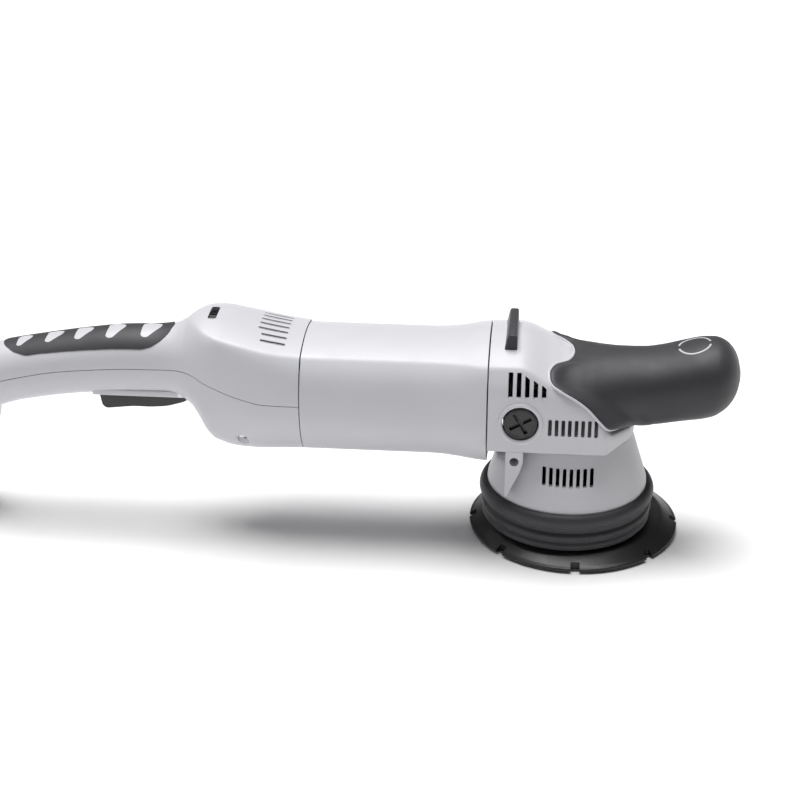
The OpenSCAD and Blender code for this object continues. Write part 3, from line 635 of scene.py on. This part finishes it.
def wound(name, light, dark):
    """Lacquered copper wire laid side by side."""
    m, nodes, links, bsdf, coord = material(name)
    wave = nodes.new("ShaderNodeTexWave")
    wave.inputs["Scale"].default_value = 420.0
    wave.inputs["Distortion"].default_value = 2.5
    links.new(coord.outputs["Object"], wave.inputs["Vector"])
    colour = ramp(nodes, links, wave.outputs["Fac"], [(0.1, dark), (0.8, light)])
    links.new(colour.outputs["Color"], bsdf.inputs["Base Color"])
    bump(nodes, links, bsdf, [(wave.outputs["Fac"], 0.5)], 0.0002)
    bsdf.inputs["Metallic"].default_value = 0.85
    bsdf.inputs["Roughness"].default_value = 0.35
    return m


def hooks(name):
    """Hook sheet: a dense field of short hooks."""
    m, nodes, links, bsdf, coord = material(name)
    cells = nodes.new("ShaderNodeTexVoronoi")
    cells.inputs["Scale"].default_value = 900.0
    links.new(coord.outputs["Object"], cells.inputs["Vector"])
    tones = [(0.1, (0.09, 0.09, 0.10)), (0.6, (0.02, 0.02, 0.022))]
    colour = ramp(nodes, links, cells.outputs["Distance"], tones)
    links.new(colour.outputs["Color"], bsdf.inputs["Base Color"])
    bump(nodes, links, bsdf, [(cells.outputs["Distance"], 0.9)], 0.0006)
    bsdf.inputs["Roughness"].default_value = 0.8
    bsdf.inputs["Sheen Weight"].default_value = 0.3
    return m


LOOK = {
    "shell_plastic": moulded("shell_plastic", (0.570, 0.570, 0.598), (0.550, 0.550, 0.578), 0.42,
                             2600, 0.05, 0.02),
    "grip_rubber": moulded("grip_rubber", (0.027, 0.027, 0.031), (0.020, 0.020, 0.024), 0.56,
                           2400, 0.16, 0.05, dust=0.35, sheen=0.12),
    "black_plastic": moulded("black_plastic", (0.013, 0.013, 0.015), (0.008, 0.008, 0.009), 0.34,
                             1800, 0.08, 0.06, dust=0.12),
    # Dark base colour: partly the gear case's own dark paint, partly painted shade, so the enclosed case reads
    # black through the head vents.
    "cast_alloy": metal("cast_alloy", (0.13, 0.13, 0.135), (0.08, 0.08, 0.085), 0.5, (1, 1, 1), 0.5),
    "steel": metal("steel", (0.66, 0.66, 0.68), (0.45, 0.45, 0.47), 0.3),
    "copper": wound("copper", (0.85, 0.44, 0.20), (0.36, 0.15, 0.06)),
    "brass": metal("brass", (0.83, 0.66, 0.30), (0.62, 0.46, 0.18), 0.32),
    "carbon": moulded("carbon", (0.05, 0.05, 0.055), (0.03, 0.03, 0.032), 0.5, 3000, 0.2, 0.05),
    "board": moulded("board", (0.05, 0.22, 0.10), (0.03, 0.15, 0.07), 0.4, 900, 0.1, 0.02),
    "filter_case": moulded("filter_case", (0.80, 0.66, 0.16), (0.70, 0.56, 0.12), 0.4),
    "switch_case": moulded("switch_case", (0.75, 0.22, 0.07), (0.62, 0.16, 0.05), 0.45),
    "hook_fabric": hooks("hook_fabric"),
}
for subpart in frame["record"]["subparts"]:
    carried = frame["nodes"][subpart["node"]]
    carried.data.materials.clear()
    carried.data.materials.append(LOOK[subpart["material_slot"]])


# ---------- surfaces to work on ----------


def facing_out(obj):
    """Turns an open sheet's faces away from the middle of the object, where recalculating cannot tell."""
    mesh = obj.data
    centre = sum((v.co for v in mesh.vertices), Vector()) / len(mesh.vertices)
    if sum(p.normal.dot((p.center - centre) * Vector((0, 1, 1))) * p.area for p in mesh.polygons) < 0:
        mesh.flip_normals()
    return obj


def surface_of(obj):
    verts = [v.co / MM for v in obj.data.vertices]
    return BVHTree.FromPolygons(verts, [tuple(p.vertices) for p in obj.data.polygons])


def project(tree, point, direction):
    """Where a line through point along direction first meets the surface from outside."""
    d = Vector(direction).normalized()
    hit, _, _, _ = tree.ray_cast(Vector(point) + d * 60, -d)
    return hit


def slot(tree, origin, u, direction, outline, depth=7.0, rim=0.2):
    """A slot seen along direction: its cutter, and a fine rounded rim that lies on the surface."""
    d = Vector(direction).normalized()
    u = Vector(u).normalized()
    v = d.cross(u)
    pts = [Vector(origin) + u * a + v * b for a, b in outline]
    hits = [project(tree, p, d) for p in pts]
    if any(h is None for h in hits):
        return None, None
    rings = [[tuple(h - d * depth) for h in hits], [tuple(h + d * 3) for h in hits]]
    cutter = outward(new_object("slot", *strip(rings, closed=True, caps=True)))
    return cutter, tube(hits, rim, steps=6)


def cut_slots(obj, specs):
    """Cuts a list of slots and merges their rims into the shell."""
    tree = surface_of(obj)
    made = [slot(tree, *spec) for spec in specs]
    boolean(obj, [c for c, _ in made if c])
    beads = [b for _, b in made if b]
    return merge([obj] + beads, obj.name)


# ---------- rear body and handle ----------

GAP = 0.2  # half the seam between the two rear shells
WALL = 2.4


def rear_shell(upper):
    line = REAR_PATH[-1]
    where = np.concatenate([np.arange(0.3, 75, 1.5), np.arange(75, line, 2.4), [line]])
    rings = []
    for s in where:
        ring = rear_upper(s, 81) if upper else rear_lower(s, 65)
        tilt = math.radians(rear_at(s)[2])
        side = GAP if upper else -GAP
        shift = np.array([-side * math.sin(tilt), 0, side * math.cos(tilt)])
        ring = ring + shift
        rings.append([tuple(p) for p in ring])
    verts, faces = strip(rings)
    faces.append(tuple((len(rings) - 1) * len(rings[0]) + i for i in range(len(rings[0]))))
    obj = facing_out(new_object("rear", verts, faces))
    return solidify(obj, WALL)


upper = rear_shell(True)
VENT_END = -164.5
specs = []
for i in range(-3, 4):
    length = 15.0 if i < -1 else 17.6
    start = (VENT_END - length / 2, i * 6.4, 120)
    specs.append((start, (1, 0, 0), (0, i * 0.02, 1), slot_outline(length, 1.9)))
specs.append(((-209, 0, 125), (1, 0, 0), (0, 0, 1), slot_outline(5.2, 18.4, corner=2.2)))
upper = shade(cut_slots(upper, specs))

lower = rear_shell(False)
collar = bevel(prism([(-282, 81.8), (-221.4, 81.8), (-221.4, 86), (-282, 86)], "y", -12.6, 12.6), 1.0, 3)
opening = bevel(prism([(-280.4, 60), (-223.2, 60), (-223.2, 92), (-280.4, 92)], "y", -10.6, 10.6), 2.0, 4)
SCREW_HEADS = [(-300, 0, 79.8), (-325, 0, 75), (-190, 26, 66), (-190, -26, 66)]
wells = [rod((x, y, z - 30), (x, y, z + 0.2), 3.4, 32) for x, y, z in SCREW_HEADS]
boolean(lower, [collar], "UNION")
boolean(lower, [opening])
boolean(lower, wells)
lower = shade(lower)

# Half outline of the handle's rubber inlay: position along the handle, arc distance from the crown
GRIP_OUTLINE = [
    (-331.2, 0.0), (-331.0, 2.6),
    (-329.7, 5.7), (-324.8, 11.4), (-317.5, 15.3), (-310.1, 15.2), (-291.2, 16.1), (-269.2, 17.3),
    (-250.1, 18.1), (-244.1, 16.8), (-238.6, 13.1), (-234.5, 8.4), (-232.5, 0),
]
# Windows in it: two circles each, as position, arc distance and radius
GRIP_WINDOWS = [
    ((-319.2, 0, 4.2), (-321.4, 5.9, 2.0)),
    ((-301.7, 0, 5.0), (-304.8, 5.9, 2.4)),
    ((-284.2, 0, 5.0), (-287.0, 6.4, 2.6)),
    ((-265.7, 0, 5.0), (-268.5, 7.4, 2.9)),
    ((-245.1, 0, 5.8), (-248.0, 7.5, 3.0)),
]


def grip_field(x, q):
    """Positive on the rubber: inside the outline and outside the windows."""
    q = abs(q)
    d = np.hypot(grip_half[:, 0] - x, grip_half[:, 1] - q).min()
    inside = q < np.interp(x, grip_half[:, 0], grip_half[:, 1], left=-1, right=-1)
    value = d if inside else -d
    for a, b in GRIP_WINDOWS:
        for t in np.linspace(0, 1, 14):
            cx, cq, r = (a[i] + (b[i] - a[i]) * t for i in range(3))
            value = min(value, math.hypot(x - cx, q - cq) - r)
    return value


grip_half = soften(np.array(GRIP_OUTLINE), 1.2)
grip_half = grip_half[np.argsort(grip_half[:, 0])]


def on_handle(x, q, lift):
    """The point above the handle's upper surface at position x, an arc distance q from its crown."""
    s = float(np.interp(-x, [-r[0] for r in REAR], REAR_PATH))
    key = round(s, 2)
    if key not in on_handle.cache:
        ring = rear_upper(s, 121)
        tilt = math.radians(rear_at(s)[2])
        ring = ring + np.array([-GAP * math.sin(tilt), 0, GAP * math.cos(tilt)])
        d = np.concatenate([[0], np.cumsum(np.linalg.norm(np.diff(ring, axis=0), axis=1))])
        out = np.gradient(ring, axis=0)
        ahead = np.array([math.cos(tilt), 0, math.sin(tilt)])
        normal = np.cross(ahead, out)
        normal /= np.linalg.norm(normal, axis=1)[:, None]
        if normal[60, 2] < 0:
            normal = -normal
        on_handle.cache[key] = (ring, d - d[-1] / 2, normal)
    ring, d, normal = on_handle.cache[key]
    p = [np.interp(-q, d, ring[:, k]) + lift * np.interp(-q, d, normal[:, k]) for k in range(3)]
    return tuple(p)


on_handle.cache = {}


def clipped_sheet(name, xs, qs, field, lift):
    """A sheet over the grid where the field is positive, with its edges cut along the field's zero line."""
    values = [[field(x, q) for q in qs] for x in xs]
    verts, index, faces = [], {}, []

    def vertex(key, x, q):
        if key not in index:
            index[key] = len(verts)
            verts.append(on_handle(x, q, lift))
        return index[key]

    for i in range(len(xs) - 1):
        for j in range(len(qs) - 1):
            corners = [(i, j), (i + 1, j), (i + 1, j + 1), (i, j + 1)]
            if max(values[a][b] for a, b in corners) <= 0:
                continue
            face = []
            for k in range(4):
                (a, b), (c, d) = corners[k], corners[(k + 1) % 4]
                f0, f1 = values[a][b], values[c][d]
                if f0 > 0:
                    face.append(vertex((a, b), xs[a], qs[b]))
                if (f0 > 0) != (f1 > 0):
                    t = f0 / (f0 - f1)
                    edge = tuple(sorted([(a, b), (c, d)]))
                    face.append(vertex(edge, xs[a] + (xs[c] - xs[a]) * t, qs[b] + (qs[d] - qs[b]) * t))
            if len(face) > 2:
                faces.append(face)
    return new_object(name, verts, faces)


grip = clipped_sheet("grip", np.arange(-333, -231, 0.7), np.arange(-19.6, 19.7, 0.7), grip_field, 0.45)
facing_out(grip)
if sum(p.normal.z * p.area for p in grip.data.polygons) < 0:
    grip.data.flip_normals()
grip = shade(solidify(grip, 1.2), 40)

finish_piece(upper, "shell_upper", "housing", "shell_plastic", "handle_upper_shell")
finish_piece(lower, "shell_lower", "housing", "shell_plastic", "handle_lower_shell")
finish_piece(grip, "grip_inlay", "housing", "grip_rubber", "handle_grip")

# ---------- motor housing ----------

rings = [[tuple(p) for p in motor_ring(x, 81, 66)] for x in np.linspace(-154.75, -47.5, 46)]
motor = facing_out(new_object("motor", *strip(rings, closed=True)))
motor = shade(solidify(motor, WALL))
finish_piece(motor, "motor_barrel", "housing", "shell_plastic", "motor_housing")

# ---------- head cover ----------


def head_row(x):
    xs = [r[0] for r in HEAD]
    return [x] + [float(monotone(xs, [r[k] for r in HEAD], x)) for k in range(1, 5)]


stations = [np.arange(-46.6, 0, 1.6), [0.0, 0.5, 1.0, 1.6], np.arange(2.4, 38, 1.2), [37.3, 38.0]]
where = np.unique(np.concatenate(stations))
outer = [[tuple(p) for p in head_ring(head_row(x), 101)] for x in where]
inner = [[tuple(p) for p in head_ring(head_row(-46.6 + (x + 46.6) * 0.968), 101, 2.5)] for x in where]
cover = double_wall("cover", outer, inner)
specs = []
for side in (-1, 1):
    for x, top in ((-34.1, 117.4), (-29.4, 117.4), (-24.7, 115.6), (-19.9, 113.3), (-15.2, 110.8)):
        drop = 0 if x < -26 else 1.6
        h0, h1 = 103.5 - 100, top - 100
        shape = [(-1.45, h0), (1.45, h0), (1.45, h1 - drop), (-1.45, h1 + 0.3 * drop)]
        if side > 0:
            shape = [(-a, b) for a, b in shape]
        specs.append(((x, side * 42, 100), (-side, 0, 0), (0, side, 0), rounded(shape, 0.7, steps=3)))
    for i in range(8):
        start = (-11.2 + 3.73 * i, side * 42, 86.25)
        specs.append((start, (-side, 0, 0), (0, side, 0), slot_outline(2.4, 10.5, corner=0.9)))
cover = cut_slots(cover, specs)
SOCKET_X, SOCKET_Z = -28, 88
sockets = [rod((SOCKET_X, s * 34, SOCKET_Z), (SOCKET_X, s * 46, SOCKET_Z), 10.4, 64) for s in (-1, 1)]
boolean(cover, sockets)


def at_socket(side):
    """Moves a piece turned about the vertical axis to the side handle socket, facing out."""
    move = Matrix.Translation((SOCKET_X * MM, 0, SOCKET_Z * MM))
    return move @ Matrix.Rotation(-side * math.pi / 2, 4, "X")


rims = []
for side in (-1, 1):
    profile = [(10.4, 37.5), (12.9, 37.5), (12.9, 42.4), (12.1, 43.0), (11.2, 43.0), (10.4, 42.3)]
    ring = lathe("ring", rounded(profile, 0.4, steps=3), 72)
    ring.data.transform(at_socket(side))
    rims.append(outward(ring))
lip_line = closed_grip_edge(220)
centre = np.array([20.0, 0, 95.0])
away = (lip_line - centre) * [0, 1, 1]
away /= np.linalg.norm(away, axis=1)[:, None]
lip = tube(lip_line + 0.15 * away + [-0.35, 0, 0], 0.8)
cover = merge([cover] + rims + [lip], "cover")
shade(cover)
finish_piece(cover, "head_shell", "housing", "shell_plastic", "head_cover")

plugs = []
for side in (-1, 1):
    profile = rounded([(0.01, -8), (4, -8), (4, 0.2), (9.9, 0.2), (9.9, 3.9), (9.2, 4.6), (0.01, 4.6)],
                      [0, 0.6, 0.3, 0.3, 0.4, 0.4, 0], steps=4)
    plug = lathe("plug", profile, 72)
    for turn in (30, 120):
        bar = prism([(-7.0, -1.1), (7.0, -1.1), (7.0, 1.1), (-7.0, 1.1)], "z", 2.4, 8)
        bar.data.transform(Matrix.Rotation(math.radians(turn), 4, "Z"))
        boolean(plug, [bar])
    turns = np.linspace(0, 2 * math.pi, 9)[:-1]
    ring = lathe("ring", [(8.3 + 0.35 * math.cos(t), 4.55 + 0.25 * math.sin(t)) for t in turns], 72)
    plug = merge([plug, ring], "plug")
    plug.data.transform(at_socket(side) @ Matrix.Translation((0, 0, 37.5 * MM)))
    plugs.append(plug)
plug = shade(merge(plugs, "plugs"))
finish_piece(plug, "socket_plugs", "housing", "black_plastic", "side_plugs")

# ---------- palm grip ----------

N = 200
NECK_END = 46.0  # from here on the grip is the plain bar
edge = closed_grip_edge(N)
target = palm_section(NECK_END, 720)
target = resample(np.concatenate([target, target[:1]]), N + 1)[:-1]
outside = (edge - centre) * [0, 1, 1]
outside /= np.linalg.norm(outside, axis=1)[:, None]


def bearing(p):
    """Angle of a point around the bar, from straight up towards +Y."""
    return np.unwrap(np.arctan2(p[:, 1], p[:, 2] - 96))


def on_bar(x, angle):
    ring = palm_section(x, 720)
    at = bearing(ring)
    return np.array([x, np.interp(angle, at, ring[:, 1]), np.interp(angle, at, ring[:, 2])])


from_angle, to_angle = bearing(edge), bearing(target)
start_gap = np.array([edge[k] - on_bar(edge[k, 0], from_angle[k]) for k in range(N)])
rings = [edge - 1.6 * outside + [0.5, 0, 0]]
for u in np.linspace(0, 1, 44) ** 1.4:
    ring = []
    for k in range(N):
        d = u * (NECK_END - edge[k, 0])
        x = edge[k, 0] + d
        turn = max(0.0, (u - 0.3) / 0.7)
        turn = turn * turn * (3 - 2 * turn)
        p = on_bar(x, from_angle[k] + (to_angle[k] - from_angle[k]) * turn)
        swell = (1 - math.exp(-d / 0.8)) * math.exp(-((d / 16) ** 2))
        ring.append(p + start_gap[k] * math.exp(-((d / 8) ** 2)) + outside[k] * swell)
    rings.append(np.array(ring))
for x in NECK_END + 50.9 * np.sin(np.linspace(0, math.pi / 2, 34)[1:]):
    ring = palm_section(x, 720)
    rings.append(resample(np.concatenate([ring, ring[:1]]), N + 1)[:-1])
verts, faces = strip([[tuple(p) for p in r] for r in rings], closed=True)
verts.append((97.2, 0, 104.6))
tip = len(verts) - 1
last = (len(rings) - 1) * N
faces += [(last + i, last + (i + 1) % N, tip) for i in range(N)]
palm = outward(new_object("palm", verts, faces))
if sum(p.normal.z * p.area for p in palm.data.polygons if p.center.z > 0.11) < 0:
    palm.data.flip_normals()
palm_tree = surface_of(palm)
palm = shade(palm, 60)
finish_piece(palm, "palm_rubber", "housing", "grip_rubber", "palm_grip_rubber")


def mark_on_palm():
    """A plain ring of two arcs printed on the crown of the palm grip."""
    verts, faces = [], []
    steps = 44
    for start in (12, 192):
        base = len(verts)
        for k in range(steps + 1):
            a = math.radians(start + 156 * k / steps)
            for r in (8.5, 9.6):
                above = (69.8 + r * math.cos(a), -2.5 + r * math.sin(a), 120)
                hit = project(palm_tree, above, (0, 0, 1))
                verts.append(tuple(hit + Vector((0, 0, 0.12))))
        faces += [(base + 2 * k, base + 2 * k + 1, base + 2 * k + 3, base + 2 * k + 2) for k in range(steps)]
    obj = new_object("mark", verts, faces)
    if sum(p.normal.z for p in obj.data.polygons) < 0:
        obj.data.flip_normals()
    return solidify(obj, 0.3)


finish_piece(mark_on_palm(), "palm_mark", "housing", "shell_plastic")

# ---------- bumper strap ----------

strap = prism(
    [(-39.6, 114.2), (-31.4, 114.2), (-31.4, 124), (-31.6, 132.2), (-32.4, 133), (-36, 133), (-36.8, 132.2),
     (-38.6, 124)],
    "y", -20.5, 20.5,
)
bevel(strap, 0.9, 3, 25)
shade(strap, 50)
finish_piece(strap, "top_bumper", "housing", "grip_rubber", "bumper_strap")

# ---------- shroud, skirt and plate ----------

profile = rounded(
    [(22, 68), (37, 68), (47.4, 35), (47.4, 26), (44.8, 26), (44.8, 34.6), (35.3, 65.5), (22, 65.5)],
    [0, 1.2, 3.0, 0.6, 0.6, 3.0, 1.0, 0], steps=5,
)
shroud = lathe("shroud", profile, 200)
boss = [rod((-31, s * 22, 61.5), (-31, s * 38, 61.5), 5.0) for s in (-1, 1)]
for s in (-1, 1):
    web = prism([(-36, 67.8), (-26, 67.8), (-26, 61.5), (-27.4, 55.5), (-34.8, 39), (-36, 39)], "y", 24, 38)
    if s < 0:
        web.data.transform(Matrix.Scale(-1, 4, (0, 1, 0)))
        web.data.flip_normals()
    boss.append(outward(web))
boolean(shroud, boss, "UNION")
holes = [rod((-31, s * 28, 61.5), (-31, s * 50, 61.5), 2.7, 32) for s in (-1, 1)]
boolean(shroud, holes)


VENT_Z = 54.0
vent_r = 37 + (68 - VENT_Z) * (47.4 - 37) / (68 - 35)
specs = []
for side in (-1, 1):
    for i in range(8):
        x = -13.5 + 3.9 * i
        y = side * math.sqrt(vent_r * vent_r - x * x)
        specs.append(((x, y, VENT_Z), (1, 0, 0), (0, side, 0), slot_outline(2.4, 10.8, corner=0.8)))
shroud = shade(cut_slots(shroud, specs))
finish_piece(shroud, "gear_shroud", "housing", "shell_plastic", "shroud")


def skirt_r(z):
    """The skirt's outer radius: three folds on a plain tube."""
    best = 48.8
    for r, zc, rad in ((46.4, 28.8, 5.5), (48.0, 19.2, 2.7), (47.2, 13.4, 2.9)):
        if abs(z - zc) < rad:
            best = max(best, r + math.sqrt(rad * rad - (z - zc) ** 2))
    return best


zs = np.linspace(33.9, 10.5, 96)
outer = soften(np.array([(skirt_r(z) if z < 33.6 else 48.0, z) for z in zs]), 0.35)
profile = [tuple(p) for p in outer[::2]] + [(45.2, 10.5), (45.2, 25.9), (47.3, 26.1), (47.4, 33.6)]
skirt = shade(lathe("skirt", profile, 180), 60)
finish_piece(skirt, "dust_skirt", "housing", "grip_rubber", "rubber_skirt")

PAD_CENTRE = (4.70, 5.85)
rim = 62.5
profile = rounded(
    [(6, 0.9), (rim - 0.4, 0.9), (rim, 1.5), (rim, 2.9), (rim - 1.8, 3.6), (rim - 7.5, 7.4), (rim - 9.5, 8.6),
     (rim - 14, 9), (22, 9), (22, 4.6), (6, 4.6)],
    [0, 0.3, 0.4, 0.5, 1.2, 1.6, 1.2, 2.0, 0.3, 0.3, 0.3], steps=4,
)
plate = lathe("plate", profile, 216)
notches = []
for i in range(8):
    notch = [(rim - 4.4, -2.6), (rim + 4, -2.6), (rim + 4, 2.6), (rim - 4.4, 2.6)]
    cut = prism(rounded(notch, 1.0), "z", -1, 14)
    cut.data.transform(Matrix.Rotation(math.radians(45 * i + 1.5), 4, "Z"))
    notches.append(cut)
boolean(plate, notches)
plate.data.transform(Matrix.Translation((PAD_CENTRE[0] * MM, PAD_CENTRE[1] * MM, 0)))
plate = shade(plate, 30)
finish_piece(plate, "pad_plate", "pad", "black_plastic", "backing_plate")

# ---------- trigger ----------

paddle = prism(
    rounded(
        [(-278.6, 82.5), (-277.2, 74.2), (-274.8, 72.1), (-268, 72.9), (-258, 74.1), (-248, 73.9),
         (-238, 74.8), (-228, 77.8), (-224.6, 79.9), (-224.4, 86.8), (-232, 86.8), (-236, 84.5), (-269, 84.5)],
        [1.5, 1.4, 1.6, 2, 3, 3, 3, 1.4, 1.0, 1.0, 0.6, 1.0, 1.0], steps=4,
    ),
    "y", -10, 10,
)
bevel(paddle, 0.9, 3, 40)
shade(paddle, 50)
finish_piece(paddle, "trigger_lever", "trigger", "black_plastic", "trigger_paddle")


# ---------- camera, floor and light ----------


def look(obj, place, forward, up):
    """Puts a camera or light at place, looking along forward."""
    f = Vector(forward).normalized()
    r = f.cross(Vector(up)).normalized()
    u = r.cross(f)
    obj.matrix_world = Matrix(
        ((r.x, u.x, -f.x, place[0]), (r.y, u.y, -f.y, place[1]), (r.z, u.z, -f.z, place[2]), (0, 0, 0, 1))
    )


camera = bpy.data.objects.new("camera", bpy.data.cameras.new("camera"))
camera.data.lens = 83.25
camera.data.sensor_width = 36.0
camera.data.clip_start, camera.data.clip_end = 0.05, 50
bpy.context.scene.collection.objects.link(camera)
look(camera, (-0.014154, -0.982655, 0.553567), (-0.07849, 0.89810, -0.43272), (-0.03763, 0.43108, 0.90153))
bpy.context.scene.camera = camera

floor_mesh = bpy.data.meshes.new("floor")
FLOOR_HALF, FLOOR_Z = 6.0, -0.0004
corners = [(x * FLOOR_HALF, y * FLOOR_HALF, FLOOR_Z) for x, y in ((-1, -1), (1, -1), (1, 1), (-1, 1))]
floor_mesh.from_pydata(corners, [], [(0, 1, 2, 3)])
floor = bpy.data.objects.new("floor", floor_mesh)
bpy.context.scene.collection.objects.link(floor)
m, nodes, links, bsdf, coord = material("paper")
tone = noise(nodes, links, coord, 3.0)
pale = ramp(nodes, links, tone.outputs["Fac"], [(0.3, 0.90), (0.7, 0.92)])
links.new(pale.outputs["Color"], bsdf.inputs["Base Color"])
bsdf.inputs["Roughness"].default_value = 0.9
bsdf.inputs["Specular IOR Level"].default_value = 0.1
floor.data.materials.append(m)


def softbox(name, place, target, width, height, power):
    light = bpy.data.lights.new(name, "AREA")
    light.shape = "RECTANGLE"
    light.size, light.size_y, light.energy = width, height, power
    obj = bpy.data.objects.new(name, light)
    bpy.context.scene.collection.objects.link(obj)
    look(obj, place, Vector(target) - Vector(place), (0, 0, 1))
    return obj


sun = bpy.data.lights.new("overhead", "SUN")
sun.energy, sun.angle = 4.3, math.radians(44)
overhead = bpy.data.objects.new("overhead", sun)
bpy.context.scene.collection.objects.link(overhead)
look(overhead, (0, 0, 2), (0.10, -0.17, -1), (0, 1, 0))
softbox("left_box", (-1.9, -1.1, 1.3), (-0.12, 0.0, 0.08), 1.2, 1.2, 2)

world = bpy.data.worlds.new("world")
bpy.context.scene.world = world
world.use_nodes = True
world.node_tree.nodes["Background"].inputs["Color"].default_value = (1.0, 1.0, 1.0, 1)
world.node_tree.nodes["Background"].inputs["Strength"].default_value = 0.13
bpy.context.scene.view_settings.view_transform = "Standard"
